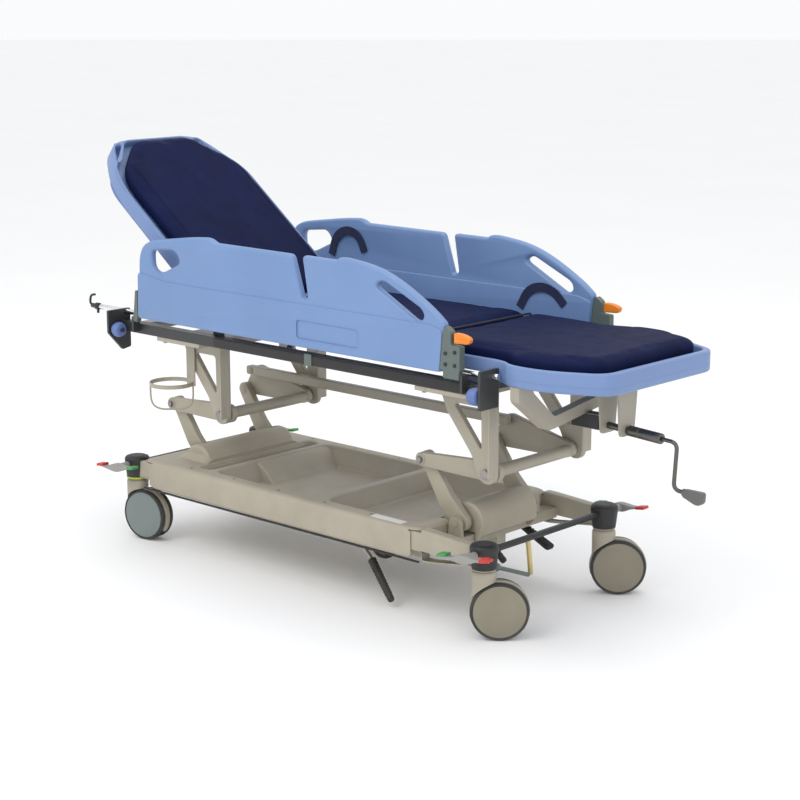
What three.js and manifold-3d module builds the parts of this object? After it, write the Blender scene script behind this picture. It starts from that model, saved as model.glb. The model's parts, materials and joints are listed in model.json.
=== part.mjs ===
// Hospital stretcher trolley: a tray-topped base on four twin-wheel casters, a pair of rocker lifts that
// carry a bed frame, three moulded deck panels with mattresses, a raising backrest and folding side guards.
// Millimetres, +Z up, +X towards the foot end, near side at -Y. Heights are above the floor.
import * as THREE from "three";
import { mergeVertices } from "three/addons/utils/BufferGeometryUtils.js";
import Module from "manifold-3d";

const wasm = await Module();
wasm.setup();

// ---- driving dimensions ----
const CENTRE_X = 138.5; // middle of the whole length, measured from the middle of the wheelbase
const GAP = 0.3; // running and touching clearance
const SIDES = { near: -1, far: 1 };
const ENDS = { head: -1, foot: 1 };
const ARC = 3; // segments in a rounded corner
const ROUND = 14; // segments round a shaft or a bore

// base
const STEM_X = 696; // caster stems, from the middle of the wheelbase
const STEM_Y = 260;
const SOCKET = { radius: 35, foot: 32, low: 190, high: 258 };
const BRAKE_BAR = { radius: 9, z: 232, halfLength: 345 };
const RAIL = { inner: 244, outer: 276, low: 192, high: 247 };
const COVER = { head: -648, foot: 488, halfWidth: 283, low: 165, high: 257, floor: 200, skin: 6 };
const BARREL = { radius: 58, z: 247, halfLength: 118, humpHalf: 178 }; // covers over the link pivots
const CROSS_LOW = 192; // underside of the cross beams

// casters
const WHEEL = { radius: 78, inner: 9.6, outer: 28, trail: 41, axle: 8 };
const SWIVEL = { head_near: 8.5, head_far: 8.5, foot_near: 42.5, foot_far: 40 }; // degrees off straight

// lift: one lower link, one rocker arm and one bed leg at each corner
const PIVOT = { headX: -510, spacing: 1026, z: 255 };
const KNEE = { x: -122, z: 158 }; // knee pin from the base pivot
const ARM = { x: 252, z: 7 }; // leg pin from the knee pin
const HORN = { x: 39, z: 66 }; // sync bar pin from the knee pin
const LINK_Y = [128, 150];
const ARM_Y = [152, 171];
const LEG_Y = [180, 198];
const SYNC_Y = [122, 148];
const LEG_PLATE = 12;
const PIN = { base: 11, knee: 9, leg: 10, horn: 7 };

// bed
const BED = { low: 652, high: 682, inner: 272, outer: 302, head: -700, foot: 735, crossZ: 667 };
const ROLLER = { y: 327, z: 659 };
const DECK = { low: 690, floor: 722, rim: 746 };
const MATTRESS = { low: 723, high: 776 };
const HINGE = { x: -300, z: 706, angle: 37.5 }; // backrest hinge and its raised angle
const BACK = { length: 764, halfWidth: 262, low: -12, floor: 16, rim: 38 };
const STRUT = { x: -300, z: 606, angle: 133.66, length: 223.5, eyeAlong: 160, eyeBelow: 45 };
const GUARD = { inner: 297, outer: 327, hingeY: 318, hingeZ: 698 };
const POLE = { y: -282, z: 707, radius: 8, head: -836, foot: 756 };
const YOKE_X = [800, 828]; // the bent bar under the foot panel
const CRANK = { x: 930, z: 555, tilt: 3.4, elbow: 176, drop: 122 };
const CUP = { x: -548, y: -240, z: 500, radius: 66, facing: 42.5 };
const FIFTH = { x: 205, z: 128, wheelX: 100, wheelZ: 84, radius: 50 };
const LEVER = {
  top: (side) => [FIFTH.x + 50, side * 222, FIFTH.z - 8],
  tip: (side) => [FIFTH.x + 145, side * 242, FIFTH.z - 104],
};

// ---- solids ----
function solidOf(geometry) {
  const bare = geometry.clone();
  bare.deleteAttribute("normal");
  bare.deleteAttribute("uv");
  const merged = mergeVertices(bare, 1e-4);
  return new wasm.Manifold(
    new wasm.Mesh({
      numProp: 3,
      vertProperties: merged.attributes.position.array,
      triVerts: new Uint32Array(merged.index.array),
    }),
  );
}

function geometryOf(solid) {
  const mesh = solid.getMesh();
  const geometry = new THREE.BufferGeometry();
  geometry.setAttribute("position", new THREE.BufferAttribute(mesh.vertProperties, 3));
  geometry.setIndex(new THREE.BufferAttribute(mesh.triVerts, 1));
  geometry.computeVertexNormals();
  return geometry;
}

function join(...pieces) {
  return geometryOf(pieces.map(solidOf).reduce((all, piece) => all.add(piece)));
}

function cut(body, ...tools) {
  return geometryOf(tools.map(solidOf).reduce((rest, tool) => rest.subtract(tool), solidOf(body)));
}

// A box from three [low, high] spans.
function box(xs, ys, zs) {
  const size = [xs, ys, zs].map(([low, high]) => high - low);
  const middle = [xs, ys, zs].map(([low, high]) => (low + high) / 2);
  return new THREE.BoxGeometry(...size).translate(...middle);
}

// A round bar along one axis, between two stations, centred on the other two coordinates in order.
function bar(axis, [from, to], [a, b], radius, sides = ROUND, endRadius = radius) {
  const geometry = new THREE.CylinderGeometry(endRadius, radius, to - from, sides);
  const middle = (from + to) / 2;
  if (axis === "x") return geometry.rotateZ(-Math.PI / 2).translate(middle, a, b);
  if (axis === "y") return geometry.translate(a, middle, b);
  return geometry.rotateX(Math.PI / 2).translate(a, b, middle);
}

// A polygon whose corners are rounded by the third number of each point.
function trace(path, points) {
  const at = (i) => new THREE.Vector2(...points[(i + points.length) % points.length].slice(0, 2));
  points.forEach((point, i) => {
    const corner = at(i);
    const radius = point[2] ?? 0;
    const before = at(i - 1).sub(corner);
    const after = at(i + 1).sub(corner);
    const start = corner.clone().add(before.setLength(Math.min(radius, before.length() / 2.05)));
    const end = corner.clone().add(after.setLength(Math.min(radius, after.length() / 2.05)));
    if (i === 0) path.moveTo(start.x, start.y);
    else path.lineTo(start.x, start.y);
    if (radius) path.quadraticCurveTo(corner.x, corner.y, end.x, end.y);
  });
  path.closePath();
  return path;
}

function extrude(points, depth, holes = []) {
  const shape = trace(new THREE.Shape(), points);
  shape.holes = holes.map((hole) => trace(new THREE.Path(), hole));
  return new THREE.ExtrudeGeometry(shape, { depth, bevelEnabled: false, curveSegments: ARC });
}

// Plates in the three planes: an outline and the span that it is thick through.
function plateXZ(points, [from, to], holes) {
  return extrude(points, to - from, holes).rotateX(Math.PI / 2).translate(0, to, 0);
}

function plateXY(points, [from, to], holes) {
  return extrude(points, to - from, holes).translate(0, 0, from);
}

function plateYZ(points, [from, to], holes) {
  const turn = new THREE.Matrix4().makeBasis(
    new THREE.Vector3(0, 1, 0),
    new THREE.Vector3(0, 0, 1),
    new THREE.Vector3(1, 0, 0),
  );
  return extrude(points, to - from, holes).applyMatrix4(turn).translate(from, 0, 0);
}

// The outline of a link between two round ends of different radius.
function linkOutline([ax, az], ra, [bx, bz], rb) {
  const heading = Math.atan2(bz - az, bx - ax);
  const spread = Math.acos((ra - rb) / Math.hypot(bx - ax, bz - az));
  const round = (x, z, r, from, to) =>
    Array.from({ length: 7 }, (_, i) => {
      const angle = from + ((to - from) * i) / 6;
      return [x + r * Math.cos(angle), z + r * Math.sin(angle)];
    });
  return [
    ...round(ax, az, ra, heading + spread, heading + 2 * Math.PI - spread),
    ...round(bx, bz, rb, heading - spread, heading + spread),
  ];
}

// A round tube along a smooth curve through points.
function tube(points, radius, sides = 8, steps = 10) {
  const section = new THREE.Shape();
  for (let i = 0; i < sides; i++) {
    const angle = (2 * Math.PI * i) / sides;
    const [x, y] = [radius * Math.cos(angle), radius * Math.sin(angle)];
    if (i === 0) section.moveTo(x, y);
    else section.lineTo(x, y);
  }
  section.closePath();
  const extrudePath = new THREE.CatmullRomCurve3(points.map((p) => new THREE.Vector3(...p)), false, "catmullrom", 0.2);
  return new THREE.ExtrudeGeometry(section, { steps, extrudePath, bevelEnabled: false });
}

// The span [low, high] of a positive offset, on either side of the middle.
const span = (side, [low, high]) => (side < 0 ? [-high, -low] : [low, high]);
const mirrorY = (points) => points.map(([x, y, r]) => [x, -y, r]).reverse();
const bothSides = (half) => [...half, ...mirrorY(half)];

// ---- the scene graph ----
const machine = new THREE.Group();
machine.position.x = -CENTRE_X;

const PAINT = [0xb9b3a4, 0.5, 0.1];
const COVER_PLASTIC = [0xb8b0a2, 0.55, 0];
const BLUE = [0x7f9fd6, 0.45, 0];
const NAVY = [0x232c54, 0.8, 0];
const DARK = [0x3a3d42, 0.6, 0];
const STEEL = [0x6f7069, 0.45, 0.6];
const CHROME = [0xc9ccd0, 0.15, 1];
const ORANGE = [0xf08a1c, 0.5, 0];

function add(name, geometry, [color, roughness, metalness], parent = machine) {
  const mesh = new THREE.Mesh(geometry, new THREE.MeshStandardMaterial({ color, roughness, metalness }));
  mesh.name = name;
  parent.add(mesh);
}

function group(x, y, z, parent = machine) {
  const made = new THREE.Group();
  made.position.set(x, y, z);
  parent.add(made);
  return made;
}

// ---- base ----
// Longitudinal rail with the two caster sockets welded to its tapered ends.
function baseRail(side) {
  const outline = [
    [-690, RAIL.low],
    [COVER.foot + 1, RAIL.low],
    [COVER.foot + 1, COVER.low + 3, 4],
    [COVER.foot + 24, COVER.low + 3, 8],
    [690, RAIL.low],
    [690, RAIL.high],
    [COVER.foot + 24, COVER.high, 8],
    [COVER.foot + 1, COVER.high, 4],
    [COVER.foot + 1, RAIL.high],
    [-690, RAIL.high],
  ];
  const y = side * STEM_Y;
  const sockets = Object.values(ENDS).map((end) =>
    bar("z", [SOCKET.low, SOCKET.high], [end * STEM_X, y], SOCKET.foot, 20, SOCKET.radius),
  );
  const bores = Object.values(ENDS).flatMap((end) => [
    bar("z", [SOCKET.low - 5, 214], [end * STEM_X, y], 15),
    bar("y", [y - 60, y + 60], [end * STEM_X, BRAKE_BAR.z], BRAKE_BAR.radius + GAP),
  ]);
  return cut(join(plateXZ(outline, span(side, [RAIL.inner, RAIL.outer])), ...sockets), ...bores);
}

// Bar down the middle of the underside, with the lugs that carry the steering wheel's shaft.
function baseSpine() {
  const beam = box([-535, 540], [-18, 18], [168, CROSS_LOW - GAP]);
  const lug = linkOutline([FIFTH.x, FIFTH.z], 16, [FIFTH.x, 165], 23);
  const lugs = Object.values(SIDES).map((side) => plateXZ(lug, span(side, [16, 32])));
  const shaftBore = bar("y", [-60, 60], [FIFTH.x, FIFTH.z], PIN.knee + GAP);
  const wheelRoom = box([20, FIFTH.x + 40], [-20.5, 20.5], [60, 167]);
  return cut(join(beam, ...lugs), shaftBore, wheelRoom);
}

// Cross beam with four lugs and the shaft that the two lower links turn on.
function pivotFrame(x) {
  const beam = box([x - 26, x + 26], [-RAIL.inner + GAP, RAIL.inner - GAP], [CROSS_LOW, 220]);
  const lugShape = linkOutline([x, PIVOT.z], 20, [x, 212], 24);
  const lugs = Object.values(SIDES).flatMap((side) => [
    plateXZ(lugShape, span(side, [90, 104])),
    plateXZ(lugShape, span(side, [158, 170])),
  ]);
  return join(beam, ...lugs, bar("y", [-172, 172], [x, PIVOT.z], PIN.base));
}

// One-piece moulded cover: skirt, two tray pockets and a head shelf, hump and barrel over the link pivots.
function trayCover() {
  const { head, foot, halfWidth, low, high, floor, skin } = COVER;
  const footPivot = PIVOT.headX + PIVOT.spacing;
  const plan = bothSides([
    [head, -halfWidth + 8, 22],
    [head + 60, -halfWidth],
    [foot - 40, -halfWidth],
    [foot, -halfWidth + 16, 16],
    [foot, -122, 0],
  ]);
  const { humpHalf, halfLength } = BARREL;
  const hump = bar("y", [-humpHalf, humpHalf], [PIVOT.headX, BARREL.z], BARREL.radius, 24);
  const barrel = bar("y", [-halfLength, halfLength], [footPivot, BARREL.z], BARREL.radius, 24);
  const nose = box([foot - 20, footPivot], [-halfLength, halfLength], [low, high - 12]);
  const body = join(plateXY(plan, [low, high]), hump, barrel, nose);
  const pockets = [
    [-440, -394, floor + 34],
    [-366, 58, floor],
    [92, 440, floor],
  ].map(([from, to, bottom]) =>
    plateXY(
      bothSides([
        [from, -232, 20],
        [to, -232, 20],
      ]),
      [bottom, high + 90],
    ),
  );
  const underside = box([head + skin, foot - 20], [-238, 238], [low - 2, floor - skin]);
  const railRoom = Object.values(SIDES).map((side) =>
    box([head - 60, foot + 60], span(side, [RAIL.inner - 3, RAIL.outer + 2]), [low - 2, RAIL.high + 3]),
  );
  const roomUnder = (x, half) => [
    bar("y", [-half, half], [x, BARREL.z], BARREL.radius - skin, 28),
    box([x - BARREL.radius + skin, x + BARREL.radius - skin], [-half, half], [low - 2, BARREL.z]),
    box([x - 30, x + 30], [-RAIL.inner - 8, RAIL.inner + 8], [low - 2, 224]),
  ];
  const slots = [PIVOT.headX, footPivot].flatMap((x) =>
    Object.values(SIDES).map((side) =>
      plateXZ(
        [
          [x - 62, low - 3],
          [x + 60, low - 3],
          [x + 40, high + 4],
          [x - 20, high + 70],
          [x - 118, high + 70],
          [x - 72, high - 20],
        ],
        span(side, [LINK_Y[0] - 5, LINK_Y[1] + 5]),
      ),
    ),
  );
  const ends = [head, foot + 20].map((x) => box([x - 40, x + 40], [-238, 238], [low - 2, low + 29]));
  const shaftRoom = box([footPivot - 12, footPivot + 12], [-130, 130], [low - 2, PIVOT.z + 12]);
  return cut(
    body,
    ...pockets,
    underside,
    ...railRoom,
    ...roomUnder(PIVOT.headX, 172.5),
    ...roomUnder(footPivot, 110),
    ...slots,
    ...ends,
    shaftRoom,
  );
}

// Hexagonal brake bar through both sockets of one end, with a two-sided foot pedal outside each socket.
function brakeBar(end) {
  const x = end * STEM_X;
  const { radius, z, halfLength } = BRAKE_BAR;
  const pedal = [
    [x - 84, z - 10, 3],
    [x - 40, z - 14, 6],
    [x, z - 15, 10],
    [x + 40, z + 2, 6],
    [x + 84, z + 10, 3],
    [x + 84, z + 19, 3],
    [x + 36, z + 13, 6],
    [x, z + 15, 10],
    [x - 36, z - 3, 6],
    [x - 84, z - 1, 3],
  ];
  const pedals = Object.values(SIDES).map((side) => plateXZ(pedal, span(side, [322, 355])));
  return join(bar("y", [-halfLength, halfLength], [x, z], radius, 6), ...pedals);
}

// ---- casters: modelled with the trail along +X and the axle along Y, then swivelled ----
function casterFork() {
  const { radius, inner, trail } = WHEEL;
  const halfHood = inner - 1.4;
  const hood = bar("y", [-halfHood, halfHood], [trail, radius], radius - 2, 24);
  const neck = bar("z", [98, 184], [0, 0], 33, 20);
  const stem = bar("z", [180, 212], [0, 0], 14);
  const wheelRoom = Object.values(SIDES).map((side) =>
    bar("y", span(side, [halfHood, 40]), [trail, radius], radius + 2, 24),
  );
  const axleBore = bar("y", [-20, 20], [trail, radius], WHEEL.axle + GAP);
  const sole = box([-90, 160], [-20, 20], [-20, 24]);
  return cut(join(cut(neck, ...wheelRoom), hood, stem), axleBore, sole);
}

function casterWheels() {
  const { radius, inner, outer, trail, axle } = WHEEL;
  const profile = [
    [0, outer],
    [radius - 6, outer],
    [radius, outer - 6],
    [radius, inner + 5],
    [radius - 5, inner],
    [0, inner],
  ];
  const points = (side) => {
    const line = profile.map(([r, y]) => new THREE.Vector2(r, side * y));
    return side > 0 ? line.reverse() : line;
  };
  const discs = Object.values(SIDES).map((side) => new THREE.LatheGeometry(points(side), 24));
  return join(...discs, bar("y", [-inner - 2, inner + 2], [0, 0], axle)).translate(trail, 0, radius);
}

function addCaster(name, end, side) {
  const swivel = group(end * STEM_X, side * STEM_Y, 0);
  swivel.rotation.z = THREE.MathUtils.degToRad(SWIVEL[name]);
  add(`caster_fork_${name}`, casterFork(), PAINT, swivel);
  add(`caster_wheels_${name}`, casterWheels(), DARK, swivel);
}

// ---- retractable steering wheel under the base ----
function fifthArm() {
  const { x, z, wheelX, wheelZ } = FIFTH;
  const cheek = linkOutline([x, z], 14, [wheelX, wheelZ], 12);
  const cheeks = Object.values(SIDES).map((side) => plateXZ(cheek, span(side, [14, 19.5])));
  const web = linkOutline([x, z], 9, [x - 40, z - 17], 6);
  const levers = Object.values(SIDES).map((side) =>
    tube([[x, side * 186, z], [x + 16, side * 206, z + 2], LEVER.top(side), LEVER.tip(side)], 6),
  );
  return join(
    bar("y", [-196, 196], [x, z], PIN.knee),
    bar("y", [-18, 18], [wheelX, wheelZ], 6),
    plateXZ(web, [-16, 16]),
    ...cheeks,
    ...levers,
  );
}

function fifthWheel() {
  const { wheelX, wheelZ, radius } = FIFTH;
  const tread = bar("y", [-13, 13], [wheelX, wheelZ], radius, 24);
  return cut(tread, bar("y", [-20, 20], [wheelX, wheelZ], 6 + GAP));
}

// Rubber sleeve over the last stretch of a lever.
function fifthGrip(side) {
  const top = new THREE.Vector3(...LEVER.top(side));
  const reach = new THREE.Vector3(...LEVER.tip(side)).sub(top);
  const length = reach.length() + 8;
  const sleeve = new THREE.CylinderGeometry(12, 10, length - 14, 14).translate(0, length / 2 + 7, 0);
  const bore = new THREE.CylinderGeometry(7.2, 7.2, length - 14, 14).translate(0, length / 2, 0);
  const turn = new THREE.Quaternion().setFromUnitVectors(new THREE.Vector3(0, 1, 0), reach.normalize());
  return cut(sleeve, bore).applyQuaternion(turn).translate(...top.toArray());
}

// ---- lift ----
const corner = (pivotX) => ({
  pivot: [pivotX, PIVOT.z],
  knee: [pivotX + KNEE.x, PIVOT.z + KNEE.z],
  pin: [pivotX + KNEE.x + ARM.x, PIVOT.z + KNEE.z + ARM.z],
  horn: [pivotX + KNEE.x + HORN.x, PIVOT.z + KNEE.z + HORN.z],
});

function lowerLink(pivotX, side) {
  const { pivot, knee } = corner(pivotX);
  const bend = [pivotX - 54, PIVOT.z + 54];
  const ys = span(side, LINK_Y);
  const body = join(
    plateXZ(linkOutline(knee, 20, bend, 26), ys),
    plateXZ(linkOutline(bend, 26, pivot, 27), ys),
  );
  const bores = [
    bar("y", [-200, 200], knee, PIN.knee + GAP),
    bar("y", [-200, 200], pivot, PIN.base + GAP),
  ];
  return cut(body, ...bores);
}

// Near arm, far arm with its sync horn, and the torque tube that joins them on the leg pin axis.
function rocker(pivotX) {
  const { knee, pin, horn } = corner(pivotX);
  const farShape = [
    plateXZ(linkOutline(knee, 19, pin, 22), ARM_Y),
    plateXZ(linkOutline(horn, 15, knee, 19), ARM_Y),
    plateXZ(linkOutline(horn, 15, pin, 22), ARM_Y),
    plateXZ([horn, knee, pin], ARM_Y),
  ];
  const nearShape = plateXZ(linkOutline(knee, 19, pin, 28), span(-1, ARM_Y));
  const kneePins = Object.values(SIDES).map((side) =>
    bar("y", span(side, [LINK_Y[0] - 3, ARM_Y[0] + 2]), knee, PIN.knee),
  );
  return join(
    bar("y", [-ARM_Y[0] - 2, ARM_Y[0] + 2], pin, 17),
    bar("y", [-LEG_Y[1] - 8, LEG_Y[1] + 8], pin, PIN.leg),
    bar("y", [SYNC_Y[0] - 3, ARM_Y[0] + 2], horn, PIN.horn),
    ...kneePins,
    ...farShape,
    nearShape,
  );
}

function syncBar() {
  const a = corner(PIVOT.headX).horn;
  const b = corner(PIVOT.headX + PIVOT.spacing).horn;
  const beam = box([a[0] - 18, b[0] + 18], SYNC_Y, [a[1] - 14, a[1] + 14]);
  const bores = [a, b].map((at) => bar("y", [100, 170], at, PIN.horn + GAP));
  return cut(beam, ...bores);
}

// Mounting plate under the bed rails with a windowed leg on each side.
function legFrame(pivotX) {
  const [x, z] = corner(pivotX).pin;
  const top = BED.low - GAP;
  const outline = [
    [x - 156, top],
    [x + 30, top],
    [x + 30, z - 12, 10],
    [x + 15, z - 27, 10],
    [x - 12, z - 27, 12],
    [x - 32, z - 4, 12],
    [x - 48, z + 43, 8],
    [x - 136, z + 150, 8],
    [x - 156, z + 196, 4],
  ];
  const window = [
    [x - 16, z + 60, 8],
    [x - 18, z + 176, 8],
    [x - 112, z + 176, 8],
  ];
  const legs = Object.values(SIDES).flatMap((side) => [
    plateXZ(outline, span(side, LEG_Y), [window]),
    box([x + 25, x + 30], span(side, [LEG_Y[0] + 1, LEG_Y[1] + 22]), [z - 8, top]),
  ]);
  const plate = box([x - 156, x + 30], [-BED.outer, BED.outer], [top - LEG_PLATE, top]);
  const strutRoom = box([x - 118, x + 31], [-34, 34], [top - 20, top + 5]);
  const bore = bar("y", [-240, 240], [x, z], PIN.leg + GAP);
  return cut(join(plate, ...legs), bore, strutRoom);
}

// ---- bed frame ----
// Rail with the end plates that hold the bumper rollers and have a bore each for the drip pole.
function sideRail(side) {
  const { low, high, inner, outer, head, foot } = BED;
  const beam = box([head - 1, foot + 1], span(side, [inner, outer]), [low, high]);
  const headPlate = [
    [266, 598, 4],
    [298, 592, 4],
    [350, 648, 4],
    [350, 716, 4],
    [266, 716, 4],
  ];
  const footPlate = [
    [266, 626, 4],
    [338, 626, 4],
    [338, 727, 4],
    [266, 727, 4],
  ];
  const onSide = (points) => (side > 0 ? points : points.map(([y, z, r]) => [-y, z, r]).reverse());
  const lug = linkOutline([HINGE.x, HINGE.z], 17, [HINGE.x, low + 20], 20);
  const guardLugs = [
    [-621, -613],
    [665, 673],
  ].map((xs) => box(xs, span(side, [outer - 1, GUARD.hingeY + 8]), [low + 8, GUARD.hingeZ + 8]));
  const guardPins = [
    [-615, -603],
    [642, 667],
  ].map((xs) => bar("x", xs, [side * GUARD.hingeY, GUARD.hingeZ], 5));
  const axles = [
    bar("x", [head - 1, head + 40], [side * ROLLER.y, ROLLER.z], 6),
    bar("x", [foot - 40, foot + 1], [side * ROLLER.y, ROLLER.z], 6),
  ];
  const body = join(
    beam,
    plateYZ(onSide(headPlate), [head - 8, head]),
    plateYZ(onSide(footPlate), [foot, foot + 8]),
    plateXZ(lug, span(side, [inner - 8, inner + 1])),
    ...axles,
    ...guardLugs,
    ...guardPins,
  );
  const hingeBore = bar("y", span(side, [inner - 12, inner + 12]), [HINGE.x, HINGE.z], 8 + GAP);
  const poleBore = bar("x", [head - 20, foot + 20], [side * -POLE.y, POLE.z], POLE.radius + GAP);
  return cut(body, hingeBore, poleBore);
}

function bumperRoller(end, side) {
  const [from, to] = end < 0 ? [BED.head + 4, BED.head + 34] : [BED.foot - 34, BED.foot - 4];
  const [y, z] = [side * ROLLER.y, ROLLER.z];
  const waist = (from + to) / 2;
  const body = join(bar("x", [from, waist], [y, z], 19, 24, 23), bar("x", [waist, to], [y, z], 23, 24, 19));
  return cut(body, bar("x", [from - 5, to + 5], [y, z], 6 + GAP));
}

function crossTube(x, halfLength) {
  return box([x - 20, x + 20], [-halfLength, halfLength], [BED.crossZ - 11, BED.crossZ + 11]);
}

// Cross tube with the clevis that the backrest strut stands in.
function strutCross() {
  const tubeX = STRUT.x + 32;
  const clevis = linkOutline([STRUT.x, STRUT.z], 12, [tubeX, BED.low + 8], 16);
  const lugs = Object.values(SIDES).map((side) => plateXZ(clevis, span(side, [17, 23])));
  const pin = bar("y", [-20, 20], [STRUT.x, STRUT.z], 6);
  return join(crossTube(tubeX, BED.inner - 8 - GAP), ...lugs, pin);
}

// Bent bar under the foot panel, with the housing and the two plates that carry the crank.
function footYoke() {
  const top = DECK.low - GAP;
  const bent = [
    [-290, top],
    [-290, 652, 10],
    [-172, 562, 8],
    [-150, 562, 8],
    [284, 622, 8],
    [296, 636, 8],
    [296, top],
    [262, top],
    [262, 648, 8],
    [-144, 594, 8],
    [-232, 670, 8],
    [-232, top],
  ];
  const plateShape = [
    [-44, top],
    [-30, 538, 12],
    [30, 538, 12],
    [44, top],
  ];
  const plates = [
    [886, 892],
    [946, 952],
  ].map((xs) => plateYZ(plateShape, xs));
  const carrier = join(
    box([806, 956], [-48, 48], [top - 8, top]),
    box([802, 826], [-288, 294], [top - 8, top]),
  );
  const housing = box([784, 872], [-16, 16], [543, 583]);
  const hanger = box(YOKE_X, [-16, 16], [575, 600]);
  const shaft = crankAlong(bar("x", [-200, 120], [0, 0], 9 + GAP));
  return cut(join(plateYZ(bent, YOKE_X), carrier, ...plates, housing, hanger), shaft);
}

const crankAlong = (geometry) =>
  geometry.rotateY(THREE.MathUtils.degToRad(CRANK.tilt)).translate(CRANK.x, 0, CRANK.z);

// Shaft with its sleeve, the cranked rod and the peg that the grip turns on.
function crankShaft() {
  const { elbow, drop } = CRANK;
  const rod = tube(
    [
      [100, 0, 0],
      [elbow - 26, 0, 0],
      [elbow - 4, 0, -6],
      [elbow, 0, -30],
      [elbow, 0, -drop + 26],
      [elbow + 5, 0, -drop + 4],
      [elbow + 28, 0, -drop],
      [elbow + 80, 0, -drop],
    ],
    6,
    8,
    20,
  );
  return join(
    bar("x", [-150, 60], [0, 0], 9),
    bar("x", [28, 130], [0, 0], 14, 16),
    rod,
  );
}

function crankGrip() {
  const { elbow, drop } = CRANK;
  const outline = [
    [elbow + 30, -drop - 9, 5],
    [elbow + 78, -drop - 24, 8],
    [elbow + 92, -drop - 8, 8],
    [elbow + 92, -drop + 10, 8],
    [elbow + 30, -drop + 9, 5],
  ];
  return cut(plateXZ(outline, [-11, 11]), bar("x", [elbow, elbow + 84], [0, -drop], 7.3, 12));
}

// ---- decks and mattresses ----
const footPlan = (grow) =>
  bothSides([
    [446, -262 - grow, 4],
    [752, -262 - grow, 20],
    [792, -296 - grow, 40],
    [910, -296 - grow, 60],
    [1062 + grow * 0.7, -226 - grow * 0.6, 30],
  ]);

function footDeck() {
  const pocket = bothSides([
    [440, -252, 0],
    [756, -252, 20],
    [796, -284, 40],
    [904, -284, 50],
    [1038, -222, 24],
  ]);
  return cut(plateXY(footPlan(0), [DECK.low, DECK.rim]), plateXY(pocket, [DECK.floor, DECK.rim + 5]));
}

function seatDeck() {
  return plateXY(
    bothSides([
      [-270, -258, 12],
      [442, -258, 12],
    ]),
    [DECK.low, DECK.floor],
  );
}

// The backrest is modelled lying flat, running from its hinge towards the head end (-X).
const backPlan = (inset, from, to) =>
  bothSides([
    [-to, -172 + inset * 0.6, 46],
    [-to + 165, -BACK.halfWidth + inset, 60],
    [-from, -BACK.halfWidth + inset, 10],
  ]);

// The mattress outline, grown by a margin, from its end near the hinge.
const backPad = (inset, from) =>
  bothSides([
    [-BACK.length + 12 + inset, -118 + inset, 20],
    [-BACK.length + 152, -250 + inset, 40],
    [-from, -250 + inset, 10],
  ]);

function backDeck() {
  const { length, low, floor, rim } = BACK;
  const ring = plateXY(backPlan(0, 22, length), [low, rim]);
  const pocket = plateXY(backPad(-3, 10), [floor, rim + 10]);
  const handSlots = Object.values(SIDES).map((side) => {
    const corners = [
      [-length + 20, -142, 6],
      [-length + 20, -167, 6],
      [-length + 92, -205, 6],
      [-length + 80, -190, 6],
    ];
    const turned = side < 0 ? corners : corners.map(([x, y, r]) => [x, -y, r]).reverse();
    return plateXY(turned, [low - 5, rim + 5]);
  });
  const pins = Object.values(SIDES).flatMap((side) => [
    bar("y", span(side, [236, BED.inner - 1]), [0, 0], 8),
    box([-60, 0], span(side, [238, 260]), [-8, 8]),
  ]);
  const eyeAt = [-STRUT.eyeAlong, -STRUT.eyeBelow];
  const lugs = Object.values(SIDES).map((side) =>
    plateXZ(linkOutline(eyeAt, 10, [-STRUT.eyeAlong, low + 2], 16), span(side, [9, 15])),
  );
  return join(cut(ring, pocket, ...handSlots), ...pins, ...lugs);
}

function backMattress() {
  return plateXY(backPad(0, 26), [BACK.floor + 1, BACK.floor + 54]);
}

function seatMattress() {
  return plateXY(
    bothSides([
      [-240, -250, 20],
      [438, -250, 10],
    ]),
    [MATTRESS.low, MATTRESS.high],
  );
}

function footMattress() {
  return plateXY(
    bothSides([
      [450, -248, 10],
      [758, -248, 20],
      [798, -280, 40],
      [902, -280, 50],
      [1033, -219, 24],
    ]),
    [MATTRESS.low, MATTRESS.high],
  );
}

// ---- backrest strut: cylinder and rod, along its own +X from the lower pivot ----
function strutCylinder() {
  const eye = bar("y", [-12, 12], [0, 0], 12);
  const body = join(eye, bar("x", [8, 152], [0, 0], 12));
  return cut(body, bar("x", [40, 160], [0, 0], 6 + GAP), bar("y", [-30, 30], [0, 0], 6 + GAP));
}

function strutRod() {
  return join(bar("x", [92, STRUT.length - 4], [0, 0], 6), bar("y", [-7, 7], [STRUT.length, 0], 9));
}

// ---- side guards ----
function guardPanel(side) {
  const outline = [
    [-592, 703, 10],
    [596, 703, 6],
    [606, 800, 8],
    [612, 829, 8],
    [564, 866, 60],
    [461, 922, 80],
    [373, 953, 60],
    [264, 965, 20],
    [236, 963, 6],
    [226, 955, 6],
    [98, 956, 10],
    [116, 842, 6],
    [99, 836, 6],
    [58, 955, 10],
    [-250, 957, 6],
    [-278, 970, 14],
    [-350, 965, 30],
    [-549, 938, 40],
    [-584, 900, 30],
  ];
  const headHole = [
    [-528, 912, 16],
    [-424, 922, 16],
    [-400, 886, 12],
    [-490, 846, 20],
    [-526, 858, 16],
  ];
  const footSlot = [
    [366, 903, 14],
    [394, 920, 14],
    [532, 858, 14],
    [541, 836, 12],
    [518, 824, 12],
  ];
  return plateXZ(outline, span(side, [GUARD.inner, GUARD.outer]), [headHole, footSlot]);
}

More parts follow.
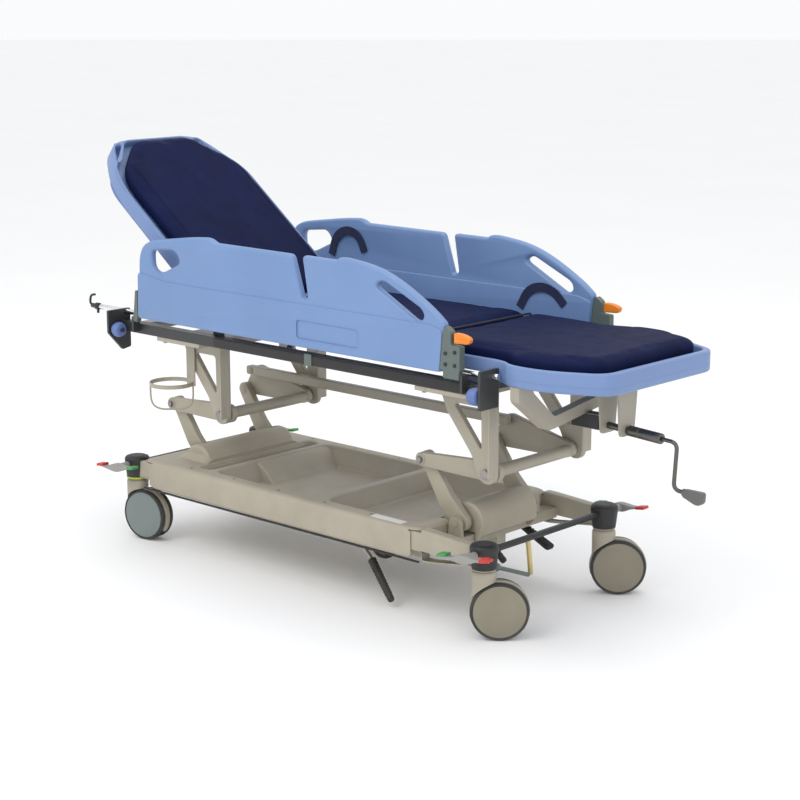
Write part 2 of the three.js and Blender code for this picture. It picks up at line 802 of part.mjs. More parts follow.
// Steel end bracket with the hinge barrel; the foot one is wide and carries the latch.
function guardBracket(end, side) {
  const plate =
    end > 0
      ? [
          [598, 712, 4],
          [664, 712, 4],
          [664, 778, 4],
          [634, 780, 4],
          [634, 812, 6],
          [613, 826, 6],
          [607, 800, 2],
        ]
      : [
          [-612, 700, 4],
          [-593, 700, 4],
          [-593, 786, 4],
          [-602, 786, 4],
        ];
  const xs = end > 0 ? [609, 662] : [-612, -596];
  const barrel = bar("x", xs, [side * GUARD.hingeY, GUARD.hingeZ], 9);
  const cheek = plateXZ(plate, span(side, [306, 326]));
  const foot = box(xs, span(side, [310, 326]), [GUARD.hingeZ, 716]);
  const pinBore = bar("x", end > 0 ? [640, 670] : [-620, -602], [side * GUARD.hingeY, GUARD.hingeZ], 5 + GAP);
  return cut(join(barrel, cheek, foot), pinBore);
}

function guardLatch(side) {
  return plateXZ(
    [
      [641, 783, 3],
      [692, 786, 6],
      [697, 800, 6],
      [668, 812, 6],
      [641, 812, 3],
    ],
    span(side, [307, 325]),
  );
}

// ---- accessories ----
// Drip pole stowed along the near rail, its hook end past the head plate.
function dripPole() {
  const { y, z, radius, head, foot } = POLE;
  const hook = [
    [head - 22, z + 4, 2],
    [head + 4, z + 33, 4],
    [head + 14, z, 2],
  ];
  return join(
    bar("x", [head, foot], [y, z], radius, 16),
    bar("x", [head - 30, head + 2], [y, z], 3, 12, radius),
    plateXZ(hook, [y - 4, y + 4]),
    bar("z", [z - 20, z], [head + 2, y], 4, 10),
  );
}

// Flat ring with a wire cradle below it, on a strap from the near rail.
function cupHolder() {
  const { x, y, z, radius } = CUP;
  const band = new THREE.LatheGeometry(
    [
      [radius - 3, z - 7],
      [radius, z - 7],
      [radius, z + 7],
      [radius - 3, z + 7],
      [radius - 3, z - 7],
    ].map(([r, h]) => new THREE.Vector2(r, h)),
    24,
  ).rotateX(Math.PI / 2).translate(x, y, 0);
  const reach = radius - 2;
  const facing = THREE.MathUtils.degToRad(CUP.facing);
  const wire = (along, height) => [
    x + along * Math.cos(facing),
    y + along * Math.sin(facing),
    z + height,
  ];
  const cradle = tube(
    [
      wire(-reach, 0),
      wire(-reach, -50),
      wire(-reach + 10, -76),
      wire(-30, -80),
      wire(30, -80),
      wire(reach - 10, -76),
      wire(reach, -50),
      wire(reach, 0),
    ],
    3,
    6,
    20,
  );
  const strap = box([x + 30, x + 66], [-206, -202], [z - 6, BED.low - LEG_PLATE - 2 * GAP]);
  return join(band, cradle, strap);
}

// ---- assembly ----
for (const [sideName, side] of Object.entries(SIDES)) {
  add(`base_rail_${sideName}`, baseRail(side), PAINT);
  add(`fifth_grip_${sideName}`, fifthGrip(side), DARK);
  add(`side_rail_${sideName}`, sideRail(side), PAINT);
  add(`side_guard_${sideName}`, guardPanel(side), BLUE);
  add(`guard_latch_${sideName}`, guardLatch(side), ORANGE);
  for (const [endName, end] of Object.entries(ENDS)) {
    const pivotX = end < 0 ? PIVOT.headX : PIVOT.headX + PIVOT.spacing;
    addCaster(`${endName}_${sideName}`, end, side);
    add(`lower_link_${endName}_${sideName}`, lowerLink(pivotX, side), PAINT);
    add(`guard_bracket_${endName}_${sideName}`, guardBracket(end, side), STEEL);
    add(`bumper_roller_${endName}_${sideName}`, bumperRoller(end, side), BLUE);
  }
}
for (const [endName, end] of Object.entries(ENDS)) {
  const pivotX = end < 0 ? PIVOT.headX : PIVOT.headX + PIVOT.spacing;
  add(`pivot_frame_${endName}`, pivotFrame(pivotX), PAINT);
  add(`brake_bar_${endName}`, brakeBar(end), DARK);
  add(`rocker_${endName}`, rocker(pivotX), PAINT);
  add(`leg_frame_${endName}`, legFrame(pivotX), PAINT);
}
add("base_spine", baseSpine(), PAINT);
add("tray_cover", trayCover(), COVER_PLASTIC);
add("fifth_arm", fifthArm(), STEEL);
add("fifth_wheel", fifthWheel(), DARK);
add("sync_bar", syncBar(), PAINT);
add("cross_tube_head", crossTube(BED.head + 60, BED.inner - GAP), PAINT);
add("strut_cross", strutCross(), PAINT);
add("foot_yoke", footYoke(), PAINT);
add("seat_deck", seatDeck(), BLUE);
add("foot_deck", footDeck(), BLUE);
add("seat_mattress", seatMattress(), NAVY);
add("foot_mattress", footMattress(), NAVY);
add("drip_pole", dripPole(), CHROME);
add("cup_holder", cupHolder(), PAINT);

const crank = group(CRANK.x, 0, CRANK.z);
crank.rotation.y = THREE.MathUtils.degToRad(CRANK.tilt);
add("crank_shaft", crankShaft(), STEEL, crank);
add("crank_grip", crankGrip(), STEEL, crank);

const backrest = group(HINGE.x, 0, HINGE.z);
backrest.rotation.y = THREE.MathUtils.degToRad(HINGE.angle);
add("back_deck", backDeck(), BLUE, backrest);
add("back_mattress", backMattress(), NAVY, backrest);

const strut = group(STRUT.x, 0, STRUT.z);
strut.rotation.y = -THREE.MathUtils.degToRad(STRUT.angle);
add("strut_cylinder", strutCylinder(), STEEL, strut);
add("strut_rod", strutRod(), CHROME, strut);

export default machine;
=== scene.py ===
import json
import math

import bmesh
import bpy
from mathutils import Matrix, Vector

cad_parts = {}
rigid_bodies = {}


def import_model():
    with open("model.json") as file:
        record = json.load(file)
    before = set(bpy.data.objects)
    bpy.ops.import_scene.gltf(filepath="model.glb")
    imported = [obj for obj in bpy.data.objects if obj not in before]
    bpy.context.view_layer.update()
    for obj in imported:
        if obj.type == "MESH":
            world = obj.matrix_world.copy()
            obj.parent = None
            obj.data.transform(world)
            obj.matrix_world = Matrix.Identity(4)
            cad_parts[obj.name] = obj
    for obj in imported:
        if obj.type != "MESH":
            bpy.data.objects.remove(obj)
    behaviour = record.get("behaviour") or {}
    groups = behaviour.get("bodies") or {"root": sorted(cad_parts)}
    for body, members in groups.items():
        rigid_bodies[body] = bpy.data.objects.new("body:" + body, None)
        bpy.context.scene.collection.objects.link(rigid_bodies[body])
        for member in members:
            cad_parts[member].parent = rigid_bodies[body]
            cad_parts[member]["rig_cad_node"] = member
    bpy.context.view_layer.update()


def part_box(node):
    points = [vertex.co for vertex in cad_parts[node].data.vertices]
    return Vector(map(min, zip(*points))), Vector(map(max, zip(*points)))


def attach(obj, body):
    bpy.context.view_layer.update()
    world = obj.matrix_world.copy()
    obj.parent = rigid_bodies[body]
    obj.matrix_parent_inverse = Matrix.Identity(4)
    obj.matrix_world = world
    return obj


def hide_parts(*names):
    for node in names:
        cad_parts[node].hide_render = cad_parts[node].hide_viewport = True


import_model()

# Pieces are drawn in millimetres from the middle of the wheelbase, then placed in the frame in metres.
LOW_HEAD, HIGH_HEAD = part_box("brake_bar_head")
LOW_FOOT, HIGH_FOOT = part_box("brake_bar_foot")
MIDDLE = (LOW_HEAD.x + HIGH_HEAD.x + LOW_FOOT.x + HIGH_FOOT.x) / 4
PLACE = Matrix.Translation((MIDDLE, 0, 0)) @ Matrix.Scale(0.001, 4)
SIDES = {"near": -1, "far": 1}
ENDS = {"head": -1, "foot": 1}
SMOOTH_ANGLE = math.radians(38)

STEM = {"x": 696, "y": 260}
WHEEL = (41, 78)  # wheel centre in a caster's own frame
SWIVEL = {"head_near": 8.5, "head_far": 8.5, "foot_near": 42.5, "foot_far": 40}
PIVOT = {"head": -510, "foot": 516, "z": 255}
HINGE = {"x": -300, "z": 706, "angle": 37.5}
BACK_LENGTH = 764
BACKREST = Matrix.Translation((HINGE["x"], 0, HINGE["z"])) @ Matrix.Rotation(
    math.radians(HINGE["angle"]), 4, "Y"
)
STRUT = Matrix.Translation((-300, 0, 606)) @ Matrix.Rotation(math.radians(-133.66), 4, "Y")
CRANK = Matrix.Translation((930, 0, 555)) @ Matrix.Rotation(math.radians(3.4), 4, "Y")


def span(side, pair):
    low, high = sorted(side * value for value in pair)
    return low, high


# ---- camera, floor and light ----
def look(position, direction, lens):
    data = bpy.data.cameras.new("camera")
    data.sensor_width = 36
    data.lens = lens
    data.clip_end = 60
    camera = bpy.data.objects.new("camera", data)
    camera.location = PLACE @ Vector(position)
    camera.rotation_mode = "QUATERNION"
    camera.rotation_quaternion = Vector(direction).to_track_quat("-Z", "Y")
    bpy.context.scene.collection.objects.link(camera)
    bpy.context.scene.camera = camera


AZIMUTH, ELEVATION = math.radians(42.53), math.radians(12.41)
look(
    (3689, -3845, 1663),
    (
        -math.sin(AZIMUTH) * math.cos(ELEVATION),
        math.cos(AZIMUTH) * math.cos(ELEVATION),
        -math.sin(ELEVATION),
    ),
    84.59,
)


def lamp(name, position, size, power, colour=(1, 1, 1), aim=(0, 0, 0.5)):
    data = bpy.data.lights.new(name, "AREA")
    data.size = size
    data.energy = power
    data.color = colour
    light = bpy.data.objects.new(name, data)
    light.location = position
    light.rotation_mode = "QUATERNION"
    light.rotation_quaternion = (Vector(aim) - Vector(position)).to_track_quat("-Z", "Y")
    bpy.context.scene.collection.objects.link(light)


lamp("key", (-0.6, -4.2, 4.6), 3.0, 85, (1, 0.985, 0.96))
lamp("front", (4.4, -3.2, 2.4), 3.0, 30, (0.97, 0.985, 1))
lamp("top", (0.3, 0.6, 5.2), 3.6, 45)
world = bpy.data.worlds.new("studio")
world.use_nodes = True
world.node_tree.nodes["Background"].inputs["Color"].default_value = (0.985, 0.99, 1, 1)
world.node_tree.nodes["Background"].inputs["Strength"].default_value = 0.98
bpy.context.scene.world = world
bpy.context.scene.view_settings.view_transform = "Standard"


# ---- materials ----
class Finish:
    """A procedural material: colour variation, roughness variation and a small-scale bump."""

    def __init__(self, name, colour, roughness, metallic=0.0):
        self.material = bpy.data.materials.new(name)
        self.material.use_nodes = True
        self.tree = self.material.node_tree
        self.shader = self.tree.nodes["Principled BSDF"]
        self.shader.inputs["Metallic"].default_value = metallic
        self.coords = self.tree.nodes.new("ShaderNodeTexCoord").outputs["Object"]
        self.colour = None
        self.base = colour
        self.roughness = roughness
        self.height = None

    def node(self, kind, **values):
        made = self.tree.nodes.new(kind)
        for key, value in values.items():
            if key in made.inputs:
                made.inputs[key].default_value = value
            else:
                setattr(made, key, value)
        return made

    def link(self, output, target):
        self.tree.links.new(output, target)

    def noise(self, scale, detail=4.0, roughness=0.55, stretch=None):
        made = self.node("ShaderNodeTexNoise", Scale=scale, Detail=detail, Roughness=roughness)
        source = self.coords
        if stretch:
            mapping = self.node("ShaderNodeMapping")
            mapping.inputs["Scale"].default_value = stretch
            self.link(source, mapping.inputs["Vector"])
            source = mapping.outputs["Vector"]
        self.link(source, made.inputs["Vector"])
        return made.outputs["Fac"]

    def cells(self, scale):
        made = self.node("ShaderNodeTexVoronoi", Scale=scale)
        self.link(self.coords, made.inputs["Vector"])
        return made.outputs["Distance"]

    def ramp(self, value, low, high):
        made = self.node("ShaderNodeMapRange")
        made.inputs["From Min"].default_value = low
        made.inputs["From Max"].default_value = high
        self.link(value, made.inputs["Value"])
        return made.outputs["Result"]

    def vary(self, scale, amount, detail=4.0, stretch=None):
        """Lighter and darker patches of the base colour."""
        darker = tuple(c * (1 - amount) for c in self.base)
        lighter = tuple(min(1, c * (1 + amount)) for c in self.base)
        mix = self.node("ShaderNodeMix", data_type="RGBA")
        mix.inputs["A"].default_value = (*darker, 1)
        mix.inputs["B"].default_value = (*lighter, 1)
        self.link(self.ramp(self.noise(scale, detail, stretch=stretch), 0.3, 0.7), mix.inputs["Factor"])
        self.colour = mix.outputs["Result"]
        return self

    def marks(self, factor, colour):
        """Another colour where the factor is high."""
        mix = self.node("ShaderNodeMix", data_type="RGBA")
        self.link(factor, mix.inputs["Factor"])
        self.link(self.colour, mix.inputs["A"])
        mix.inputs["B"].default_value = (*colour, 1)
        self.colour = mix.outputs["Result"]
        return self

    def scuffs(self, colour, scale=30.0, low=0.62, high=0.8, strength=0.35, stretch=(1, 1, 6)):
        fine = self.ramp(self.noise(scale, 8.0, 0.7, stretch), low, high)
        scaled = self.node("ShaderNodeMath", operation="MULTIPLY")
        scaled.inputs[1].default_value = strength
        self.link(fine, scaled.inputs[0])
        return self.marks(scaled.outputs["Value"], colour)

    def dust(self, top, strength, colour=(0.16, 0.145, 0.12)):
        """Grime that thickens towards the floor, in uneven patches."""
        split = self.node("ShaderNodeSeparateXYZ")
        self.link(self.coords, split.inputs["Vector"])
        low = self.ramp(split.outputs["Z"], top, 0.0)
        patch = self.ramp(self.noise(14.0, 6.0), 0.35, 0.75)
        both = self.node("ShaderNodeMath", operation="MULTIPLY")
        self.link(low, both.inputs[0])
        self.link(patch, both.inputs[1])
        scaled = self.node("ShaderNodeMath", operation="MULTIPLY")
        scaled.inputs[1].default_value = strength
        self.link(both.outputs["Value"], scaled.inputs[0])
        return self.marks(scaled.outputs["Value"], colour)

    def bump(self, height, distance, strength=1.0):
        made = self.node("ShaderNodeBump")
        made.inputs["Distance"].default_value = distance
        made.inputs["Strength"].default_value = strength
        self.link(height, made.inputs["Height"])
        if self.height is not None:
            self.link(self.height, made.inputs["Normal"])
        self.height = made.outputs["Normal"]
        return self

    def done(self, **shader):
        low, high = self.roughness
        spread = self.node("ShaderNodeMapRange")
        spread.inputs["To Min"].default_value = low
        spread.inputs["To Max"].default_value = high
        self.link(self.noise(22.0, 5.0), spread.inputs["Value"])
        self.link(spread.outputs["Result"], self.shader.inputs["Roughness"])
        self.link(self.colour, self.shader.inputs["Base Color"])
        if self.height is not None:
            self.link(self.height, self.shader.inputs["Normal"])
        for key, value in shader.items():
            self.shader.inputs[key.replace("_", " ")].default_value = value
        return self.material


def powder_coat(name, colour, dusty=0.0, gloss=(0.32, 0.5)):
    finish = Finish(name, colour, gloss).vary(3.0, 0.05)
    finish.scuffs(tuple(c * 0.55 for c in colour), 26.0, 0.64, 0.8, 0.3)
    if dusty:
        finish.dust(0.45, dusty)
    finish.bump(finish.noise(900.0, 2.0), 0.00025, 0.35)
    return finish.done()


FINE_GRAIN = 1500.0


def moulded_plastic(name, colour, grain=FINE_GRAIN, gloss=(0.36, 0.52), dusty=0.0, vary=0.05):
    finish = Finish(name, colour, gloss).vary(4.0, vary)
    finish.scuffs(tuple(min(1, c * 1.25 + 0.03) for c in colour), 40.0, 0.66, 0.84, 0.25, (5, 1, 1))
    finish.scuffs(tuple(c * 0.6 for c in colour), 18.0, 0.67, 0.86, 0.25, (1, 1, 3))
    if dusty:
        finish.dust(0.33, dusty)
    finish.bump(finish.cells(grain), 0.0002, 0.3)
    return finish.done()


def vinyl(name, colour):
    finish = Finish(name, colour, (0.55, 0.75)).vary(7.0, 0.2)
    finish.scuffs(tuple(c * 1.7 for c in colour), 12.0, 0.6, 0.85, 0.35, (1, 3, 1))
    finish.bump(finish.noise(9.0, 3.0), 0.005, 0.4)
    finish.bump(finish.noise(46.0, 3.0, stretch=(1, 2.5, 1)), 0.0014, 0.45)
    finish.bump(finish.cells(950.0), 0.0003, 0.5)
    return finish.done(Specular_IOR_Level=0.09)


def rubber(name, colour, gloss=(0.6, 0.85), vary=0.18):
    finish = Finish(name, colour, gloss).vary(30.0, vary)
    finish.dust(0.2, 0.35)
    finish.bump(finish.noise(700.0, 4.0), 0.0003, 0.5)
    return finish.done()


def metal(name, colour, gloss, brushed=(1, 1, 30), dusty=0.0):
    finish = Finish(name, colour, gloss, 1.0).vary(12.0, 0.12)
    finish.scuffs(tuple(c * 0.45 for c in colour), 30.0, 0.62, 0.84, 0.4)
    if dusty:
        finish.dust(0.4, dusty)
    finish.bump(finish.noise(260.0, 3.0, stretch=brushed), 0.0001, 0.4)
    return finish.done()


def webbing(name, colour):
    finish = Finish(name, colour, (0.75, 0.95)).vary(60.0, 0.2)
    wave = finish.node("ShaderNodeTexWave", Scale=420.0, Distortion=0.3, bands_direction="DIAGONAL")
    finish.link(finish.coords, wave.inputs["Vector"])
    finish.bump(wave.outputs["Fac"], 0.0006, 0.7)
    return finish.done()


PAINT = powder_coat("base_paint", (0.37, 0.335, 0.262), 0.45)
FRAME_PAINT = powder_coat("frame_paint", (0.36, 0.33, 0.265))
COVER = moulded_plastic("tray_plastic", (0.385, 0.345, 0.27), 1100.0, (0.42, 0.58), 0.5)
DISC = moulded_plastic("disc_plastic", (0.245, 0.22, 0.16), FINE_GRAIN, (0.35, 0.5), 0.4)
PANEL = moulded_plastic("panel_blue", (0.155, 0.255, 0.475), 1300.0, (0.3, 0.46))
DECK = moulded_plastic("deck_blue", (0.16, 0.245, 0.46), 1300.0, (0.32, 0.48))
ROLLER = moulded_plastic("roller_blue", (0.11, 0.17, 0.40), FINE_GRAIN, (0.4, 0.55))
NAVY = vinyl("cover_vinyl", (0.0045, 0.0085, 0.045))
PIPING = rubber("piping", (0.012, 0.013, 0.02), (0.4, 0.6))
TYRE = rubber("tyre", (0.03, 0.03, 0.032))
GRIP = rubber("grip_rubber", (0.012, 0.012, 0.013), (0.45, 0.7))
CAP = moulded_plastic("cap_plastic", (0.011, 0.0115, 0.0125), FINE_GRAIN, (0.4, 0.6), 0.25)
BLACK = moulded_plastic("black_plastic", (0.018, 0.019, 0.022), FINE_GRAIN, (0.35, 0.55))
STRIP = moulded_plastic("strip_black", (0.017, 0.016, 0.017), FINE_GRAIN, (0.45, 0.62))
RAIL = powder_coat("rail_dark", (0.034, 0.035, 0.037))
PEDAL = powder_coat("pedal_grey", (0.30, 0.29, 0.275), 0.3)
PADDLE = powder_coat("paddle_grey", (0.115, 0.117, 0.11))
COOL_DISC = moulded_plastic("disc_plastic_cool", (0.175, 0.215, 0.21), FINE_GRAIN, (0.35, 0.5), 0.3)
BRACKET = powder_coat("bracket_grey", (0.105, 0.135, 0.125))
ORANGE = moulded_plastic("latch_orange", (0.78, 0.22, 0.012), FINE_GRAIN, (0.25, 0.38))
RED = moulded_plastic("tip_red", (0.55, 0.03, 0.025))
GREEN = moulded_plastic("tip_green", (0.05, 0.30, 0.08))
LIME = moulded_plastic("ring_lime", (0.42, 0.52, 0.05))
WHITE = moulded_plastic("label_white", (0.72, 0.72, 0.68), vary=0.03)
CHROME = metal("chrome", (0.78, 0.79, 0.81), (0.08, 0.2))
STEEL = metal("zinc_steel", (0.46, 0.45, 0.42), (0.3, 0.5), dusty=0.4)
DARK_STEEL = metal("dark_steel", (0.13, 0.127, 0.118), (0.22, 0.4))
BOLT = metal("bolt_steel", (0.30, 0.29, 0.28), (0.3, 0.5))
BRASS = metal("passivated_zinc", (0.62, 0.50, 0.24), (0.3, 0.5))
WEBBING = webbing("strap_navy", (0.012, 0.02, 0.07))


# ---- mesh building ----
def rounded(points, closed, steps=6):
    """Corner points whose last number is how far back the corner's curve starts."""
    size = len(points[0]) - 1
    line = []
    for i, point in enumerate(points):
        corner, back = Vector(point[:size]), point[size]
        if back <= 0 or (not closed and i in (0, len(points) - 1)):
            line.append(corner)
            continue
        before = Vector(points[i - 1][:size]) - corner
        after = Vector(points[(i + 1) % len(points)][:size]) - corner
        start = corner + before.normalized() * min(back, before.length * 0.49)
        end = corner + after.normalized() * min(back, after.length * 0.49)
        for k in range(steps + 1):
            t = k / steps
            line.append(start * (1 - t) ** 2 + corner * 2 * t * (1 - t) + end * t * t)
    return line


def both(points):
    """Completes an outline that is the same on both sides of the long axis."""
    return [*points, *[(x, -y, r) for x, y, r in reversed(points)]]


def link_outline(a, ra, b, rb, steps=14):
    """The outline round two circles and their common tangents."""
    (ax, az), (bx, bz) = a, b
    along = math.atan2(bz - az, bx - ax)
    lean = math.acos((ra - rb) / math.hypot(bx - ax, bz - az))
    line = []
    for k in range(steps + 1):
        turn = along + lean + (2 * math.pi - 2 * lean) * k / steps
        line.append((ax + ra * math.cos(turn), az + ra * math.sin(turn), 0))
    for k in range(steps + 1):
        turn = along - lean + 2 * lean * k / steps
        line.append((bx + rb * math.cos(turn), bz + rb * math.sin(turn), 0))
    return line


def on_axis(axis, along, u, v):
    return {"x": (along, u, v), "y": (u, along, v), "z": (u, v, along)}[axis]


TO_SPACE = {
    "XZ": lambda u, v, w: (u, w, v),
    "XY": lambda u, v, w: (u, v, w),
    "YZ": lambda u, v, w: (w, u, v),
}


def held(mesh):
    holder = bpy.data.objects.new("work", mesh)
    bpy.context.scene.collection.objects.link(holder)
    return holder


def applied(holder):
    """The holder's mesh with its modifiers applied; the holder is removed."""
    graph = bpy.context.evaluated_depsgraph_get()
    graph.update()
    mesh = bpy.data.meshes.new_from_object(holder.evaluated_get(graph))
    bpy.data.objects.remove(holder)
    return mesh


class Piece:
    """Builds one mesh out of closed shells, in millimetres."""

    def __init__(self, local=None):
        self.bm = bmesh.new()
        self.local = local or Matrix.Identity(4)

    def shell(self, rings):
        made = [[self.bm.verts.new(point) for point in ring] for ring in rings]
        count = len(made[0])
        for low, high in zip(made, made[1:]):
            for i in range(count):
                j = (i + 1) % count
                self.bm.faces.new((low[i], low[j], high[j], high[i]))
        self.bm.faces.new(list(reversed(made[0])))
        self.bm.faces.new(made[-1])
        return self

    def plate(self, plane, points, depths, bevel=1.5, holes=(), steps=6):
        low, high = sorted(depths)
        bevel = min(bevel, (high - low) / 2 - 0.01)
        curve = bpy.data.curves.new("outline", "CURVE")
        curve.dimensions, curve.fill_mode = "2D", "BOTH"
        curve.extrude = (high - low) / 2 - bevel
        curve.bevel_depth, curve.bevel_resolution, curve.offset = bevel, 2, -bevel
        for line in (points, *holes):
            flat = rounded(line, True, steps)
            spline = curve.splines.new("POLY")
            spline.points.add(len(flat) - 1)
            for point, at in zip(spline.points, flat):
                point.co = (at[0], at[1], 0, 1)
            spline.use_cyclic_u = True
        holder = bpy.data.objects.new("outline", curve)
        mesh = bpy.data.meshes.new_from_object(holder)
        middle = (low + high) / 2
        for vertex in mesh.vertices:
            u, v, w = vertex.co
            vertex.co = TO_SPACE[plane](u, v, w + middle)
        part = bmesh.new()
        part.from_mesh(mesh)
        bmesh.ops.remove_doubles(part, verts=part.verts, dist=0.02)
        bmesh.ops.recalc_face_normals(part, faces=part.faces)
        part.to_mesh(mesh)
        part.free()
        self.bm.from_mesh(mesh)
        bpy.data.objects.remove(holder)
        bpy.data.curves.remove(curve)
        bpy.data.meshes.remove(mesh)
        return self

    def box(self, xs, ys, zs, bevel=1.5):
        x0, x1 = sorted(xs)
        y0, y1 = sorted(ys)
        corner = [(x0, y0, 0), (x1, y0, 0), (x1, y1, 0), (x0, y1, 0)]
        return self.plate("XY", corner, zs, bevel)

    def turn(self, axis, centre, profile, sides=40):
        """A shape turned round an axis from (station, radius) pairs; both ends are closed."""
        a, b = centre
        rings = []
        for along, radius in profile:
            ring = []
            for k in range(sides):
                turn = 2 * math.pi * k / sides
                u, v = a + radius * math.cos(turn), b + radius * math.sin(turn)
                ring.append(on_axis(axis, along, u, v))
            rings.append(ring)
        return self.shell(rings)

    def rod(self, axis, ends, centre, radius, bevel=1.0, sides=32):
        low, high = sorted(ends)
        return self.turn(
            axis,
            centre,
            [
                (low, radius - bevel), (low + bevel * 0.3, radius - bevel * 0.3), (low + bevel, radius),
                (high - bevel, radius), (high - bevel * 0.3, radius - bevel * 0.3),
                (high, radius - bevel),
            ],
            sides,
        )

    def hollow(self, axis, centre, profile, sides=48):
        """A ring turned from a closed profile of (station, radius) pairs."""
        a, b = centre
        rings = []
        for k in range(sides):
            turn = 2 * math.pi * k / sides
            ring = []
            for along, radius in profile:
                u, v = a + radius * math.cos(turn), b + radius * math.sin(turn)
                ring.append(self.bm.verts.new(on_axis(axis, along, u, v)))
            rings.append(ring)
        count = len(profile)
        for k in range(sides):
            low, high = rings[k], rings[(k + 1) % sides]
            for i in range(count):
                j = (i + 1) % count
                self.bm.faces.new((low[i], low[j], high[j], high[i]))
        return self

    def tube(self, points, radius, sides=16, flat=1.0, steps=8):
        """A bar swept along a line of corner points; flat squeezes its section."""
        line = rounded(points, False, steps)
        line = [p for i, p in enumerate(line) if i == 0 or (p - line[i - 1]).length > 0.05]
        ahead = [
            (line[min(i + 1, len(line) - 1)] - line[max(i - 1, 0)]).normalized()
            for i in range(len(line))
        ]
        side = ahead[0].orthogonal().normalized()
        rings = []
        for i, (point, forward) in enumerate(zip(line, ahead)):
            if i:
                side = (side - forward * side.dot(forward)).normalized()
            up = forward.cross(side)
            ring = lambda r, p: [
                p
                + side * math.cos(2 * math.pi * k / sides) * r
                + up * math.sin(2 * math.pi * k / sides) * r * flat
                for k in range(sides)
            ]
            if i == 0:
                rings.append(ring(radius * 0.7, point))
                rings.append(ring(radius, point + forward * radius * 0.3))
            elif i == len(line) - 1:
                rings.append(ring(radius, point - forward * radius * 0.3))
                rings.append(ring(radius * 0.7, point))
            else:
                rings.append(ring(radius, point))
        return self.shell(rings)

    def bolt(self, axis, at, radius, out=1, washer=True):
        """A hexagon head on a washer. at is the face that it sits on, out the way it stands out."""
        x, y, z = at
        along, centre = {"x": (x, (y, z)), "y": (y, (x, z)), "z": (z, (x, y))}[axis]
        if washer:
            self.turn(
                axis,
                centre,
                [
                    (along, radius * 1.35), (along + out * 1.2, radius * 1.35),
                    (along + out * 1.6, radius * 1.25),
                ],
                28,
            )
        thick = radius * 0.7
        start = along + out * (1.2 if washer else 0)
        self.turn(
            axis,
            centre,
            [(start, radius), (start + out * thick * 0.85, radius), (start + out * thick, radius * 0.88)],
            6,
        )
        return self

    def mesh(self, place=True):
        bmesh.ops.recalc_face_normals(self.bm, faces=self.bm.faces)
        made = bpy.data.meshes.new("piece")
        self.bm.to_mesh(made)
        self.bm.free()
        if place:
            made.transform(PLACE @ self.local)
        return made

    def carve(self, joined=(), removed=()):
        """Joins and cuts other pieces, all still in millimetres."""
        holder = held(self.mesh(False))
        tools = []
        for mode, pieces in (("UNION", joined), ("DIFFERENCE", removed)):
            for piece in pieces:
                tool = held(piece.mesh(False))
                tools.append(tool)
                modifier = holder.modifiers.new("carve", "BOOLEAN")
                modifier.operation, modifier.object, modifier.solver = mode, tool, "EXACT"
        mesh = applied(holder)
        for tool in tools:
            bpy.data.objects.remove(tool)
        self.bm = bmesh.new()
        self.bm.from_mesh(mesh)
        bmesh.ops.remove_doubles(self.bm, verts=self.bm.verts, dist=0.01)
        bmesh.ops.dissolve_degenerate(self.bm, edges=self.bm.edges, dist=0.005)
        return self

    def done(self, name, body, material, slot, replaces=(), sharp=SMOOTH_ANGLE, weighted=False):
        made = self.mesh()
        return finish(made, name, body, material, slot, replaces, sharp, weighted)


def finish(mesh, name, body, material, slot, replaces=(), sharp=SMOOTH_ANGLE, weighted=False):
    mesh.polygons.foreach_set("use_smooth", [True] * len(mesh.polygons))
    if sharp:
        mesh.set_sharp_from_angle(angle=sharp)
    mesh.materials.clear()
    mesh.materials.append(material)
    mesh.name = name
    piece = bpy.data.objects.new(name, mesh)
    bpy.context.scene.collection.objects.link(piece)
    if weighted:
        normals = piece.modifiers.new("normals", "WEIGHTED_NORMAL")
        normals.keep_sharp = True
    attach(piece, body)
    if replaces:
        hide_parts(*([replaces] if isinstance(replaces, str) else replaces))
    return piece


def keep(node, material, width=1.2):
    """A CAD node that stays: softened edges and its own finish."""
    thing = bpy.data.objects[NODE_OBJECTS[node]]
    thing.data.materials.clear()
    thing.data.materials.append(material)
    bevel = thing.modifiers.new("edges", "BEVEL")
    bevel.width = width * 0.001
    bevel.segments = 2
    bevel.limit_method = "ANGLE"
    bevel.angle_limit = math.radians(40)
    bevel.harden_normals = False


NODE_OBJECTS = {o["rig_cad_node"]: o.name for o in bpy.data.objects if "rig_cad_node" in o}


def rounded_rect(xs, ys, radius, z, grow=0.0, steps=6):
    (x0, x1), (y0, y1) = xs, ys
    x0, x1, y0, y1 = x0 - grow, x1 + grow, y0 - grow, y1 + grow
    radius = max(radius + grow, 2)
    ring = []
    for cx, cy, start in (
        (x1 - radius, y1 - radius, 0), (x0 + radius, y1 - radius, 90), (x0 + radius, y0 + radius, 180),
        (x1 - radius, y0 + radius, 270),
    ):
        for k in range(steps + 1):
            turn = math.radians(start + 90 * k / steps)
            ring.append((cx + radius * math.cos(turn), cy + radius * math.sin(turn), z))
    return ring


